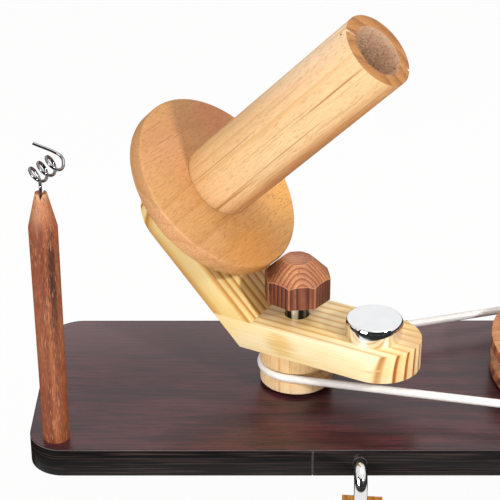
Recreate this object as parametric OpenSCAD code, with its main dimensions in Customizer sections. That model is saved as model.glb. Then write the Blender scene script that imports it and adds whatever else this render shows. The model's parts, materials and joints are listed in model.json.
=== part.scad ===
// Table-clamped yarn ball winder, driven by a hand wheel and a round belt.
// Millimetres, +Z up. The origin is the middle of the base board's underside,
// the face that stands on the table. +X runs along the board towards the wheel.

/* [Base board] */
// Length of the base board, left to right
base_l = 394; // [370:2:460]
// Depth of the base board, front to back
base_w = 155; // [145:1:200]
// Thickness of the base board
base_t = 18; // [16:1:25]
// Corner radius of the base board in plan
corner_r = 21; // [8:1:30]
// Thickness of the edge band
band_t = 0.9; // [0.5:0.1:2]
// Distance of the edge band's seam to the left of the front edge's middle
seam_left = 28; // [20:1:60]
// Width of the open seam where the band's ends meet
seam_w = 0.4; // [0.2:0.1:1]

/* [Guide post] */
// Diameter of the post below its tip
post_d = 16.7; // [13:0.1:22]
// Diameter of the post at its foot
post_foot_d = 15.8; // [12:0.1:22]
// Height of the post above the board
post_h = 161; // [120:1:190]
// Height of the tapered tip
post_tip_h = 21; // [10:1:30]
// Diameter of the tip's small end
post_tip_d = 6.8; // [5:0.1:9]
// Distance of the post from the board's left end
post_from_end = 16.5; // [14:0.5:30]
// Distance of the post from the board's front edge
post_from_front = 15; // [13:0.5:30]
// Depth of the post's socket in the board
post_socket = 13; // [8:1:15]
// Depth and width of the small notch across the tip
notch_size = 3; // [1:0.5:4]

/* [Yarn guide] */
// Diameter of the guide's wire
wire_d = 2; // [1.4:0.1:2.4]
// Mean radius of the coil
coil_r = 5.2; // [4:0.1:7]
// Advance of the coil in one turn
coil_pitch = 5.7; // [4.5:0.1:8]
// Turning of the coil, in degrees
coil_sweep = 1020; // [700:10:1100]
// Direction of the coil's axis in plan, from +X
coil_az = 17.5; // [0:0.5:40]
// Rise of the coil's axis above level
coil_rise = 30; // [10:1:50]
// Depth of the wire's end in the post
wire_socket = 9; // [5:1:15]

/* [Main axis and pulley] */
// Distance of the main axis from the board's left end
main_from_end = 161; // [150:1:190]
// Offset of the main axis behind the board's middle
main_y = 3; // [-10:1:15]
// Diameter of the steel axles
axle_d = 8; // [6:0.5:8]
// Space between the board and the small pulley
pulley_lift = 2.5; // [1.5:0.1:5]
// Diameter of the small pulley
pulley_d = 45.4; // [40:0.2:60]
// Height of the small pulley
pulley_h = 26.2; // [24:0.2:34]
// Diameter of the steel collar under the knob
collar_d = 14.6; // [12:0.2:17]
// Height of the steel collar
collar_h = 12.9; // [8:0.1:20]

/* [Friction knob] */
// Width of the eight-sided knob across its flats
knob_af = 38.6; // [36:0.1:44]
// Width of its small top face across flats
knob_top_af = 18; // [12:0.1:20]
// Height of the knob
knob_h = 25.6; // [24:0.1:30]
// Diameter at which the knob's upright corners are rounded off
knob_corner_d = 41.4; // [39:0.1:46]
// Turn of the knob's faces from the board's sides, in degrees
knob_turn = 7; // [0:0.5:22]
// Height of the bevel ridges over the bevel flats
knob_ridge = 0.3; // [0.2:0.1:1]

/* [Arm] */
// Direction of the arm in plan, from +X
arm_az = -29.25; // [-60:0.25:0]
// Width of the arm boards
arm_w = 50; // [48:1:60]
// Thickness of the arm boards
arm_t = 18.6; // [16:0.1:22]
// Reach of the level board from the main axis to its round end
arm_reach = 82; // [76:1:100]
// Distance from the main axis back to the foot of the sloping board
foot_back = 19; // [15:0.5:30]
// Diameter of the dowels that join the two boards
dowel_d = 8; // [6:0.5:10]
// Length of these dowels
dowel_l = 14; // [10:1:16]

/* [Counterweight] */
// Diameter of the counterweight
weight_d = 35.2; // [26:0.2:40]
// Height of the counterweight
weight_h = 11.2; // [8:0.1:30]
// Distance of the counterweight from the main axis
weight_out = 52.6; // [48:0.1:55]
// Radius of the counterweight's rounded top edge
weight_edge = 1.2; // [0.5:0.1:3]

/* [Spindle] */
// Rise of the spindle above level
tilt = 45; // [42:1:48]
// Diameter of the spindle's disc
disc_d = 119; // [100:1:130]
// Thickness of the disc
disc_t = 11; // [10:0.5:14]
// Space between the sloping board and the disc
disc_gap = 18.8; // [14:0.1:24]
// Outer diameter of the spindle's tube
tube_d = 46.8; // [40:0.2:56]
// Bore of the tube
tube_bore_d = 32.4; // [26:0.2:34]
// Length of the tube
tube_l = 146.7; // [110:0.1:180]
// Thickness of the tube's floor, round the nut
tube_floor = 12; // [11:0.5:16]
// Width of the two yarn slots in the tube's mouth
slot_w = 2; // [1.2:0.1:3]
// Depth of the yarn slots
slot_depth = 5; // [3:0.5:8]
// Direction of the slots round the tube
slot_turn = -56; // [-90:1:90]
// Diameter of the boss behind the disc
boss_d = 34; // [30:1:44]
// Space between the sloping board and the boss
boss_lift = 2; // [1:0.1:4]

/* [Drive wheel] */
// Diameter of the drive wheel
wheel_d = 152; // [130:1:164]
// Thickness of the drive wheel
wheel_t = 24; // [22:0.5:28]
// Space between the board and the drive wheel
wheel_lift = 1.4; // [1:0.1:3]
// Distance of the wheel's axis from the board's right end
wheel_from_end = 34; // [26:1:60]
// Offset of the wheel's axis behind the board's middle
wheel_y = 10; // [-10:1:20]
// Width of the wheel's belt groove at the rim
groove_w = 10; // [8:0.5:12]
// Depth of the wheel's belt groove
groove_depth = 8; // [7:0.5:10]

/* [Crank] */
// Distance of the crank grip from the wheel's axis
crank_r = 56; // [40:1:60]
// Direction of the crank grip at rest, from +X
crank_az = 25; // [0:5:90]
// Length of the crank grip
grip_l = 84; // [60:1:110]
// Largest diameter of the crank grip
grip_d = 26; // [22:1:32]
// Diameter of the crank pin
crank_pin_d = 8; // [6:0.5:10]

/* [Belt] */
// Diameter of the round belt
belt_d = 5; // [4:0.1:6]
// How far the belt stands out of the small pulley's rim
belt_proud = 1.9; // [1:0.1:2.2]

/* [Table clamp] */
// Diameter of the bent clamp rod
rod_d = 8; // [6:0.5:9]
// Distance of the rod's upright leg from the board's front edge
rod_out = 14; // [12:0.5:25]
// Bend radius of the rod
rod_bend_r = 9.5; // [9:0.5:11]
// Depth of the rod's hole in the board
rod_socket = 45; // [30:1:60]
// Length of the rod below the board
rod_drop = 104; // [98:1:140]
// Space between the board and the clamp jaw, for the table top
jaw_gap = 38; // [24:1:44]
// Width of the jaw block
jaw_w = 25; // [20:1:40]
// Length of the jaw block, front to back
jaw_l = 62; // [50:1:80]
// Thickness of the jaw block
jaw_t = 20; // [16:1:24]
// Distance of the rod's hole from the jaw block's front end
jaw_nose = 14.5; // [10:0.5:20]
// Turn of the jaw block round the rod as it hangs
jaw_turn = -5.5; // [-20:0.5:20]
// Span of the wing nut
wing_span = 34; // [26:1:40]
// Height of the wing nut's hub
nut_hub_h = 8; // [6:0.5:10]

/* [Fits] */
// Radial space of a shaft that turns or slides in a bore
shaft_gap = 0.08; // [0.04:0.01:0.1]
// Radial space round a fixed piece in its hole
seat_gap = 0.05; // [0.02:0.01:0.1]
// Space between pieces that move past each other
run_gap = 0.3; // [0.25:0.05:0.5]

/* [Hidden] */

$fn = 72;
cut = 1;                 // overshoot of a cutting shape past the face it opens
side_n = 32;             // sides of circles that are hulled
sink = 0.4;              // screw heads lie this far inside their recess
spare = 0.5;             // spare depth at the end of a blind hole

// Ball bearings and steel hardware, standard sizes
bearing_od = 22;
bearing_w = 7;
race_t = 2.05;           // wall of the inner ring
outer_t = 1.7;           // wall of the outer ring
shield_in = 0.6;         // depth of the shields below the ring faces
shield_t = 0.5;
inner_r = axle_d / 2 + race_t;
stack_r = inner_r - seat_gap;      // spacers and sleeves stay off the shields
relief_wall = 2;                   // free space round the sleeves
relief_r = inner_r + relief_wall;
head_af = 13;
head_h = 5.3;
nut_h = 6.5;
washer_t = 1.6;
washer_r = 8.5;
bolt_recess = 8;         // depth of the recess for a bolt head under the board
recess_r = 10;
lock_nut_h = 7;
thread_out = 1;          // length of a bolt past its nut

// Levels of the main axis, from the board up
pulley_z = base_t + pulley_lift;
arm_z = pulley_z + pulley_h;
arm_top = arm_z + arm_t;
arm_lip = 3;             // wood above the arm's upper bearing
arm_seat = arm_top - arm_lip;
collar_top = arm_top + collar_h;
knob_top = collar_top + knob_h;
insert_h = 15;
insert_wall = 2;
insert_r = axle_d / 2 + insert_wall;
bolt_in_knob = insert_h - 2 * spare;

// Levels of the wheel's axis
wheel_z = base_t + wheel_lift;
wheel_top = wheel_z + wheel_t;
belt_z = wheel_z + wheel_t / 2;

// Places in plan
main_x = main_from_end - base_l / 2;
wheel_x = base_l / 2 - wheel_from_end;
post_x = post_from_end - base_l / 2;
post_y = post_from_front - base_w / 2;
front_y = -base_w / 2;
rod_y = front_y - rod_out;
rod_z = base_t / 2;

// The spindle's axis: its disc rolls on the knob's bevel, which has the same
// slope, so the axis lies one disc radius and one running gap above the bevel.
knob_bevel_z = knob_top + knob_top_af / 2 * tan(tilt) + knob_ridge;
axis_z = knob_bevel_z + (disc_d / 2 + run_gap) / cos(tilt);
slope_l = cos(tilt) * (axis_z - arm_top - foot_back * tan(tilt));
spindle_q = -foot_back - slope_l * sin(tilt);
spindle_z = arm_top + slope_l * cos(tilt);
foot_end = foot_back + arm_t / cos(tilt);
dowel_shift = 1;         // dowels lie this far back and down from the joint's middle

// Levels along the spindle, from the sloping board's upper face
ring_recess = 1;         // depth of the upper bearing below the disc's face
ring_a = boss_lift;
ring_b = disc_gap + disc_t - ring_recess - bearing_w;
nut_face = ring_b + bearing_w + washer_t;
tube_z = disc_gap + disc_t;
bolt_end = nut_face + nut_h + thread_out;
nut_space = 2;           // free space round a nut in its well
nut_well_r = head_af / 2 / cos(30) + nut_space;

// Belt path round the small pulley and the wheel
pulley_belt_r = pulley_d / 2 + belt_proud - belt_d / 2;
groove_half = atan(groove_w / 2 / groove_depth);
belt_clear_r = belt_d / 2 + run_gap;
wheel_belt_r = wheel_d / 2 - groove_depth + belt_clear_r / sin(groove_half);
axes_dx = wheel_x - main_x;
axes_dy = wheel_y - main_y;
axes_d = norm([axes_dx, axes_dy]);
axes_az = atan2(axes_dy, axes_dx);
belt_lean = asin((wheel_belt_r - pulley_belt_r) / axes_d);
strand_l = sqrt(pow(axes_d, 2) - pow(wheel_belt_r - pulley_belt_r, 2));
groove_floor = 1;        // half width of the flat floor of the belt grooves
belt_spare = 0.2;        // extra depth of the small pulley's groove

// Screws of the small pulley and of the counterweight
screw_r = 2;
screw_head_r = 3.8;
screw_head_h = 2.6;
screw_in_arm = 14;
screw_wall = 7;          // distance of the screws from the pulley's rim
screw_ring_r = pulley_d / 2 - screw_wall;
weight_screw_r = 3;
weight_head_r = 5.5;
weight_head_h = 4;
weight_roof = 2.5;       // metal over the counterweight's blind hole
weight_hole = weight_h - weight_roof;

// Upright dowels across the joint of the arm's boards
dowel_q = -(foot_back + foot_end) / 2 - dowel_shift;
dowel_low = dowel_l / 2 - dowel_shift;

// Crank
grip_z = wheel_top + washer_t + run_gap;
grip_neck = 0.7;         // share of the grip's radius at its ends
grip_belly = 0.55;       // share of the grip's length below its thickest place
grip_bow = 120;          // radius of the grip's long curved outline
bow_sides = 180;         // sides of that large circle
pin_head_h = 4;
pin_head_r = crank_pin_d / 2 + 3;
washer_rim = 1;          // the crank's washer is this much wider than the pin's head
pin_floor = 14;          // wood left over the crank pin's nut well
pin_nut_af = crank_pin_d + 5;
pin_nut_r = pin_nut_af / 2 / cos(30);
pin_foot = wheel_top - pin_floor - nut_h - 2 * thread_out;

// Clamp
jaw_top = -jaw_gap;
rod_end = -rod_drop;
rod_hole_r = rod_d / 2 + shaft_gap;
nut_z = jaw_top - jaw_t - washer_t;
clamp_washer_r = rod_d / 2 + 5;
hub_wall = 3.5;          // wall of the wing nut's hub at its top
hub_taper = 1;
wing_t = 2.6;
wing_h = 13;
wing_tip_r = 4;

// Steel ring with a true bore
module ring(outer_r, bore_r, h) {
    rotate_extrude() translate([bore_r, 0]) square([outer_r - bore_r, h]);
}

// Hex head below z = 0 with its round shank above it
module hex_bolt(shank_d, l, af, h) {
    translate([0, 0, -h]) cylinder(d = af / cos(30), h = h, $fn = 6);
    translate([0, 0, -h / 2]) cylinder(d = shank_d, h = l + h / 2);
}

// Hex nut with a true bore
module hex_nut(af, h, bore_r) {
    difference() {
        cylinder(d = af / cos(30), h = h, $fn = 6);
        translate([0, 0, -cut]) cylinder(r = bore_r, h = h + 2 * cut);
    }
}

// Inner ring of a ball bearing
module inner_ring() {
    ring(inner_r, axle_d / 2 + seat_gap, bearing_w);
}

// Outer ring of a ball bearing, with its two thin shields
module outer_ring() {
    ro = bearing_od / 2 - seat_gap;
    ri = bearing_od / 2 - outer_t;
    rs = inner_r + run_gap;
    s0 = shield_in;
    s1 = shield_in + shield_t;
    rotate_extrude() polygon([[ro, 0], [ro, bearing_w], [ri, bearing_w],
        [ri, bearing_w - s0], [rs, bearing_w - s0], [rs, bearing_w - s1],
        [ri, bearing_w - s1], [ri, s1], [rs, s1], [rs, s0], [ri, s0], [ri, 0]]);
}

// Rounded rectangle centred on the origin, with true arcs
module rounded_rect(l, w, r) {
    square([l - 2 * r, w], center = true);
    square([l, w - 2 * r], center = true);
    for (sx = [-1, 1], sy = [-1, 1])
        translate([sx * (l / 2 - r), sy * (w / 2 - r)]) circle(r = r);
}

// Hole for the clamp rod, from in front of the board inwards
module rod_hole() {
    translate([0, front_y - cut, rod_z]) rotate([-90, 0, 0])
        cylinder(r = rod_hole_r, h = rod_socket + cut + spare);
}

// Frames of the moving groups
module at_main() translate([main_x, main_y, 0]) children();
module at_wheel() translate([wheel_x, wheel_y, 0]) children();
module arm_frame() at_main() rotate([0, 0, arm_az]) children();
module spindle_frame() arm_frame() translate([spindle_q, 0, spindle_z])
    rotate([0, 90 - tilt, 0]) children();
module crank_frame() at_wheel() rotate([0, 0, crank_az]) translate([crank_r, 0, 0])
    children();

// Recess and hole for an axle bolt, cut upwards from the underside
module axle_hole() {
    translate([0, 0, -cut]) cylinder(r = recess_r, h = bolt_recess + cut);
    translate([0, 0, -cut]) cylinder(r = axle_d / 2 + seat_gap, h = base_t + 2 * cut);
}

module base_board() color("#4a2a28") {
    difference() {
        linear_extrude(base_t)
            rounded_rect(base_l - 2 * band_t, base_w - 2 * band_t, corner_r - band_t);
        at_main() axle_hole();
        at_wheel() axle_hole();
        translate([post_x, post_y, base_t - post_socket])
            cylinder(d = post_foot_d + 2 * seat_gap, h = post_socket + cut);
        rod_hole();
    }
}

module edge_band() color("#2a2224") {
    difference() {
        linear_extrude(base_t) difference() {
            rounded_rect(base_l, base_w, corner_r);
            rounded_rect(base_l - 2 * band_t, base_w - 2 * band_t, corner_r - band_t);
        }
        rod_hole();
        translate([-seam_left - seam_w / 2, front_y - cut, -cut])
            cube([seam_w, band_t + 2 * cut, base_t + 2 * cut]);
    }
}

module guide_post() color("#9a5234") {
    r = post_d / 2;
    foot_r = post_foot_d / 2;
    difference() {
        translate([post_x, post_y, base_t - post_socket]) rotate_extrude()
            polygon([[0, 0], [foot_r, 0], [foot_r, post_socket],
                [r, post_socket + post_h - post_tip_h],
                [post_tip_d / 2, post_socket + post_h], [0, post_socket + post_h]]);
        translate([post_x, post_y, base_t + post_h - wire_socket])
            cylinder(d = wire_d + 2 * seat_gap, h = wire_socket + cut);
        translate([post_x, post_y + r, base_t + post_h]) rotate([90, 0, 0])
            linear_extrude(2 * r) polygon([[0, -notch_size], [notch_size / 2, 0],
                [notch_size / 2, cut], [-notch_size / 2, cut], [-notch_size / 2, 0]]);
    }
}

// Yarn guide. All points are taken from the middle of the post's tip.
// The coil starts here, and the wire leaves it towards the tail's points.
coil_start = [-4.3, 1.5, 10.2];
coil_phase = 88;
stem = [[0, 0, -wire_socket], [0, 0, -4], [0, 0, 1], [0, 0, 4], [-0.6, 0.3, 6.4],
    [-2.3, 0.9, 8.3]];
tail = [[12.9, 6, 16], [12, 6.8, 18.3], [9.8, 7, 19.8], [6, 7, 21.8], [1, 7, 24.3],
    [-3.5, 7, 26.6]];
wire_sides = 6;
coil_step = 15;

// Point of the coil at angle a, counted from its start
function coil_point(a) =
    let (x = coil_r * (cos(coil_phase + a) - cos(coil_phase)),
        y = coil_r * (sin(coil_phase + a) - sin(coil_phase)),
        z = coil_pitch * a / 360,
        t = 90 - coil_rise,
        xr = x * cos(t) + z * sin(t))
    coil_start + [xr * cos(coil_az) - y * sin(coil_az),
        xr * sin(coil_az) + y * cos(coil_az), z * cos(t) - x * sin(t)];

wire_path = concat(stem, [for (a = [0:coil_step:coil_sweep]) coil_point(a)], tail);

// Sections of a sweep: each frame is carried on from the one before it
function unit(v) = v / norm(v);
function tangent(p, i) = unit(p[min(i + 1, len(p) - 1)] - p[max(i - 1, 0)]);
function across(v, t) = unit(v - (v * t) * t);
function frames(p, i = 0, v = [1, 0, 0]) =
    i == len(p) ? [] :
    let (n = across(v, tangent(p, i))) concat([n], frames(p, i + 1, n));

// Tube of radius r along the points p, closed at both ends
module sweep(p, r, sides) {
    n = frames(p);
    rings = [for (i = [0:len(p) - 1]) let (b = cross(tangent(p, i), n[i]))
        for (k = [0:sides - 1]) let (a = 360 * k / sides)
            p[i] + r * (cos(a) * n[i] + sin(a) * b)];
    last = (len(p) - 1) * sides;
    walls = [for (i = [0:len(p) - 2], k = [0:sides - 1])
        let (j = (k + 1) % sides, u = i * sides)
        [u + k, u + sides + k, u + sides + j, u + j]];
    polyhedron(rings, concat([[for (k = [0:sides - 1]) k]], walls,
        [[for (k = [sides - 1:-1:0]) last + k]]), convexity = 10);
}

// Least distance between turns of the wire, less its diameter
ring_far = 12;           // rings nearer than this along the wire are one turn
wire_least_gap = min([for (i = [0:len(wire_path) - 1 - ring_far])
    min([for (j = [i + ring_far:len(wire_path) - 1])
        norm(wire_path[i] - wire_path[j])])]) - wire_d;
echo(wire_least_gap = wire_least_gap);

module yarn_guide() color("#c9ccd0") {
    translate([post_x, post_y, base_t + post_h])
        sweep(wire_path, wire_d / 2, wire_sides);
}

// Belt: one closed loop of round sections, close together on the two arcs and
// none on the straight strands between them. Each station is the distance of
// its circle's centre from the main axis, that circle's radius and an angle.
belt_touch = 90 + belt_lean;
belt_sides = 12;
pulley_steps = 20;
wheel_steps = 36;
belt_stations = concat(
    [for (i = [0:pulley_steps])
        [0, pulley_belt_r, belt_touch + (360 - 2 * belt_touch) * i / pulley_steps]],
    [for (i = [0:wheel_steps])
        [axes_d, wheel_belt_r, belt_touch * (2 * i / wheel_steps - 1)]]);

module drive_belt() color("#eceae2") {
    n = len(belt_stations);
    rings = [for (s = belt_stations, k = [0:belt_sides - 1])
        let (a = 360 * k / belt_sides, r = s[1] + belt_d / 2 * cos(a))
        [s[0] + r * cos(s[2]), r * sin(s[2]), belt_d / 2 * sin(a)]];
    walls = [for (i = [0:n - 1], k = [0:belt_sides - 1])
        let (j = (k + 1) % belt_sides, u = i * belt_sides, v = (i + 1) % n * belt_sides)
        [u + k, u + j, v + j, v + k]];
    translate([main_x, main_y, belt_z]) rotate([0, 0, axes_az])
        polyhedron(rings, walls, convexity = 10);
}

// Main axis
module main_bolt() color("#b9bcc0") {
    floor_z = bolt_recess - washer_t;
    at_main() translate([0, 0, floor_z])
        hex_bolt(axle_d, collar_top + bolt_in_knob - floor_z, head_af, head_h);
}

module main_bolt_washer() color("#b9bcc0") {
    at_main() translate([0, 0, bolt_recess - washer_t])
        ring(washer_r, axle_d / 2 + seat_gap, washer_t);
}

module main_base_spacer() color("#b9bcc0") {
    at_main() translate([0, 0, base_t])
        ring(stack_r, axle_d / 2 + seat_gap, pulley_lift);
}

module main_sleeve() color("#b9bcc0") {
    z0 = pulley_z + bearing_w;
    at_main() translate([0, 0, z0])
        ring(stack_r, axle_d / 2 + seat_gap, arm_seat - bearing_w - z0);
}

module main_collar() color("#c4c7cb") {
    at_main() translate([0, 0, arm_seat])
        ring(collar_d / 2, axle_d / 2 + seat_gap, collar_top - arm_seat);
}

module arm_bearing_inner_rings() color("#b0b4b8") {
    at_main() {
        translate([0, 0, pulley_z]) inner_ring();
        translate([0, 0, arm_seat - bearing_w]) inner_ring();
    }
}

// Eight-sided knob: an upright prism under a bevel as steep as the spindle
module friction_knob() color("#8c4a2c") {
    side_h = knob_h - (knob_af - knob_top_af) / 2 * tan(tilt);
    cone_r = (knob_h - side_h) / tan(tilt) + knob_top_af / 2 + knob_ridge / tan(tilt);
    at_main() translate([0, 0, collar_top]) difference() {
        intersection() {
            union() {
                rotate([0, 0, 22.5 + knob_turn])
                    cylinder(d = knob_af / cos(22.5), h = side_h, $fn = 8);
                translate([0, 0, side_h]) rotate([0, 0, 22.5 + knob_turn])
                    cylinder(d1 = knob_af / cos(22.5), d2 = knob_top_af / cos(22.5),
                        h = knob_h - side_h, $fn = 8);
            }
            rotate_extrude() polygon([[0, 0], [knob_corner_d / 2, 0],
                [knob_corner_d / 2, side_h + (cone_r - knob_corner_d / 2) * tan(tilt)],
                [cone_r - (knob_h - side_h) / tan(tilt), knob_h], [0, knob_h]]);
        }
        translate([0, 0, -cut]) cylinder(r = insert_r + seat_gap, h = insert_h + cut);
    }
}

module knob_insert() color("#b08a3c") {
    at_main() translate([0, 0, collar_top])
        ring(insert_r, axle_d / 2 + seat_gap, insert_h);
}

// Wheel axis
module wheel_bolt() color("#b9bcc0") {
    floor_z = bolt_recess - washer_t;
    top = wheel_top + washer_t + lock_nut_h + thread_out;
    at_wheel() translate([0, 0, floor_z])
        hex_bolt(axle_d, top - floor_z, head_af, head_h);
}

module wheel_bolt_washer() color("#b9bcc0") {
    at_wheel() translate([0, 0, bolt_recess - washer_t])
        ring(washer_r, axle_d / 2 + seat_gap, washer_t);
}

module wheel_base_spacer() color("#b9bcc0") {
    at_wheel() translate([0, 0, base_t])
        ring(stack_r, axle_d / 2 + seat_gap, wheel_lift);
}

module wheel_sleeve() color("#b9bcc0") {
    at_wheel() translate([0, 0, wheel_z + bearing_w])
        ring(stack_r, axle_d / 2 + seat_gap, wheel_t - 2 * bearing_w);
}

module wheel_top_washer() color("#b9bcc0") {
    at_wheel() translate([0, 0, wheel_top])
        ring(stack_r, axle_d / 2 + seat_gap, washer_t);
}

module wheel_lock_nut() color("#b9bcc0") {
    at_wheel() translate([0, 0, wheel_top + washer_t])
        hex_nut(head_af, lock_nut_h, axle_d / 2 + seat_gap);
}

module wheel_bearing_inner_rings() color("#b0b4b8") {
    at_wheel() {
        translate([0, 0, wheel_z]) inner_ring();
        translate([0, 0, wheel_top - bearing_w]) inner_ring();
    }
}

// Pocket for a bearing, open below (s = -1) or above (s = 1) its face
module bearing_pocket(s) {
    translate([0, 0, s > 0 ? -bearing_w : -cut])
        cylinder(d = bearing_od, h = bearing_w + cut);
}

// Everything behind the sloping board's back face
module behind_slope() {
    far = 2 * disc_d + arm_reach;
    spindle_frame() translate([-far, -far, -arm_t - far])
        cube([2 * far, 2 * far, far]);
}

module arm_board() color("#e8c78c") {
    difference() {
        arm_frame() translate([0, 0, arm_z]) linear_extrude(arm_t) {
            translate([-foot_end, -arm_w / 2])
                square([foot_end + arm_reach - arm_w / 2, arm_w]);
            translate([arm_reach - arm_w / 2, 0]) circle(d = arm_w);
        }
        behind_slope();
        arm_frame() {
            translate([0, 0, arm_z - cut]) {
                cylinder(d = bearing_od, h = arm_t - arm_lip + cut);
                cylinder(r = collar_d / 2 + run_gap, h = arm_t + 2 * cut);
            }
            translate([weight_out, 0, arm_z - cut])
                cylinder(r = weight_screw_r + seat_gap, h = arm_t + 2 * cut);
            translate([weight_out, 0, arm_z - cut])
                cylinder(r = weight_head_r + seat_gap, h = weight_head_h + cut);
            pulley_screw_places() translate([0, 0, arm_z - cut])
                cylinder(r = screw_r + seat_gap, h = screw_in_arm + 2 * cut);
        }
        dowel_holes();
    }
}

module spindle_board() color("#e3bd7e") {
    far = 2 * disc_d + arm_reach;
    difference() {
        spindle_frame() translate([0, 0, -arm_t]) linear_extrude(arm_t) {
            circle(d = arm_w);
            translate([0, -arm_w / 2]) square([slope_l + 2 * arm_t, arm_w]);
        }
        arm_frame() translate([-far, -far, arm_top - far]) cube([2 * far, 2 * far, far]);
        spindle_frame() translate([0, 0, -arm_t - cut])
            cylinder(r = axle_d / 2 + seat_gap, h = arm_t + 2 * cut);
        dowel_holes();
    }
}

// Two upright dowels across the joint of the arm's boards
module dowel_places() {
    for (s = [-1, 1])
        arm_frame() translate([dowel_q, s * arm_w / 4, arm_top - dowel_low]) children();
}

module dowel_holes() {
    dowel_places() translate([0, 0, -spare])
        cylinder(d = dowel_d + 2 * seat_gap, h = dowel_l + 2 * spare);
}

module joint_dowels() color("#cfa468") {
    dowel_places() cylinder(d = dowel_d, h = dowel_l);
}

// Small pulley under the arm, held by three screws
module pulley_screw_places() {
    for (k = [0:2]) rotate([0, 0, 60 + 120 * k]) translate([screw_ring_r, 0, 0]) children();
}

module small_pulley() color("#d9a76a") {
    r = pulley_d / 2;
    groove_z = belt_z - pulley_z;
    side = tan(groove_half);
    floor_r = pulley_belt_r - belt_clear_r - belt_spare;
    // The groove's sides clear the belt all round
    mouth = (r - pulley_belt_r) * side + belt_clear_r / cos(groove_half);
    base = max(groove_floor, mouth - (r - floor_r) * side);
    arm_frame() translate([0, 0, pulley_z]) difference() {
        rotate_extrude() polygon([[0, 0], [r, 0], [r, groove_z - mouth],
            [floor_r, groove_z - base], [floor_r, groove_z + base],
            [r, groove_z + mouth], [r, pulley_h], [0, pulley_h]]);
        bearing_pocket(-1);
        translate([0, 0, cut]) cylinder(r = relief_r, h = pulley_h);
        pulley_screw_places() {
            translate([0, 0, -cut]) cylinder(r = screw_r + seat_gap, h = pulley_h + 2 * cut);
            translate([0, 0, -cut])
                cylinder(r = screw_head_r + seat_gap, h = screw_head_h + cut + sink);
        }
    }
}

module pulley_screws() color("#b9bcc0") {
    arm_frame() pulley_screw_places() translate([0, 0, pulley_z + sink]) {
        cylinder(r = screw_head_r, h = screw_head_h);
        cylinder(r = screw_r, h = pulley_h - sink + screw_in_arm);
    }
}

module arm_bearing_outer_rings() color("#a4a8ad") {
    arm_frame() {
        translate([0, 0, pulley_z]) outer_ring();
        translate([0, 0, arm_seat - bearing_w]) outer_ring();
    }
}

// Chromed counterweight with a rounded top edge and a threaded hole below
module counterweight() color("#d5d8dc") {
    r = weight_d / 2;
    arm_frame() translate([weight_out, 0, arm_top]) difference() {
        rotate_extrude() {
            square([r, weight_h - weight_edge]);
            square([r - weight_edge, weight_h]);
            translate([r - weight_edge, weight_h - weight_edge]) circle(r = weight_edge);
        }
        translate([0, 0, -cut])
            cylinder(r = weight_screw_r + seat_gap, h = weight_hole + cut);
    }
}

module weight_screw() color("#b9bcc0") {
    arm_frame() translate([weight_out, 0, arm_z + sink]) {
        cylinder(r = weight_head_r, h = weight_head_h - sink);
        cylinder(r = weight_screw_r, h = arm_t - sink + weight_hole - spare);
    }
}

// Spindle's axle, fixed in the sloping board
module spindle_bolt() color("#b9bcc0") {
    z0 = -arm_t - washer_t;
    spindle_frame() translate([0, 0, z0])
        hex_bolt(axle_d, bolt_end - z0, head_af, head_h);
}

module spindle_bolt_washer() color("#b9bcc0") {
    spindle_frame() translate([0, 0, -arm_t - washer_t])
        ring(washer_r, axle_d / 2 + seat_gap, washer_t);
}

module spindle_base_spacer() color("#b9bcc0") {
    spindle_frame() ring(stack_r, axle_d / 2 + seat_gap, boss_lift);
}

module spindle_sleeve() color("#b9bcc0") {
    z0 = ring_a + bearing_w;
    spindle_frame() translate([0, 0, z0])
        ring(stack_r, axle_d / 2 + seat_gap, ring_b - z0);
}

module spindle_nut_washer() color("#b9bcc0") {
    spindle_frame() translate([0, 0, ring_b + bearing_w])
        ring(stack_r, axle_d / 2 + seat_gap, washer_t);
}

module spindle_nut() color("#b9bcc0") {
    spindle_frame() translate([0, 0, nut_face])
        hex_nut(head_af, nut_h, axle_d / 2 + seat_gap);
}

module spindle_bearing_inner_rings() color("#b0b4b8") {
    spindle_frame() {
        translate([0, 0, ring_a]) inner_ring();
        translate([0, 0, ring_b]) inner_ring();
    }
}

// Spindle: disc, boss and tube turn together
module spindle_disc() color("#cf9a5c") {
    spindle_frame() translate([0, 0, disc_gap]) difference() {
        cylinder(d = disc_d, h = disc_t);
        translate([0, 0, ring_b - disc_gap]) cylinder(d = bearing_od, h = disc_t);
        translate([0, 0, -cut]) cylinder(r = relief_r, h = disc_t);
    }
}

module spindle_boss() color("#c8955a") {
    spindle_frame() translate([0, 0, boss_lift]) difference() {
        cylinder(d = boss_d, h = disc_gap - boss_lift);
        bearing_pocket(-1);
        translate([0, 0, -cut]) cylinder(r = relief_r, h = disc_gap + cut);
    }
}

module spindle_tube() color("#dcab6e") {
    spindle_frame() translate([0, 0, tube_z]) difference() {
        cylinder(d = tube_d, h = tube_l);
        translate([0, 0, tube_floor]) cylinder(d = tube_bore_d, h = tube_l);
        translate([0, 0, -cut]) cylinder(r = nut_well_r, h = tube_floor + 2 * cut);
        rotate([0, 0, slot_turn]) translate([-slot_w / 2, -tube_d, tube_l - slot_depth])
            cube([slot_w, 2 * tube_d, slot_depth + cut]);
    }
}

module spindle_bearing_outer_rings() color("#a4a8ad") {
    spindle_frame() {
        translate([0, 0, ring_a]) outer_ring();
        translate([0, 0, ring_b]) outer_ring();
    }
}

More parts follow.
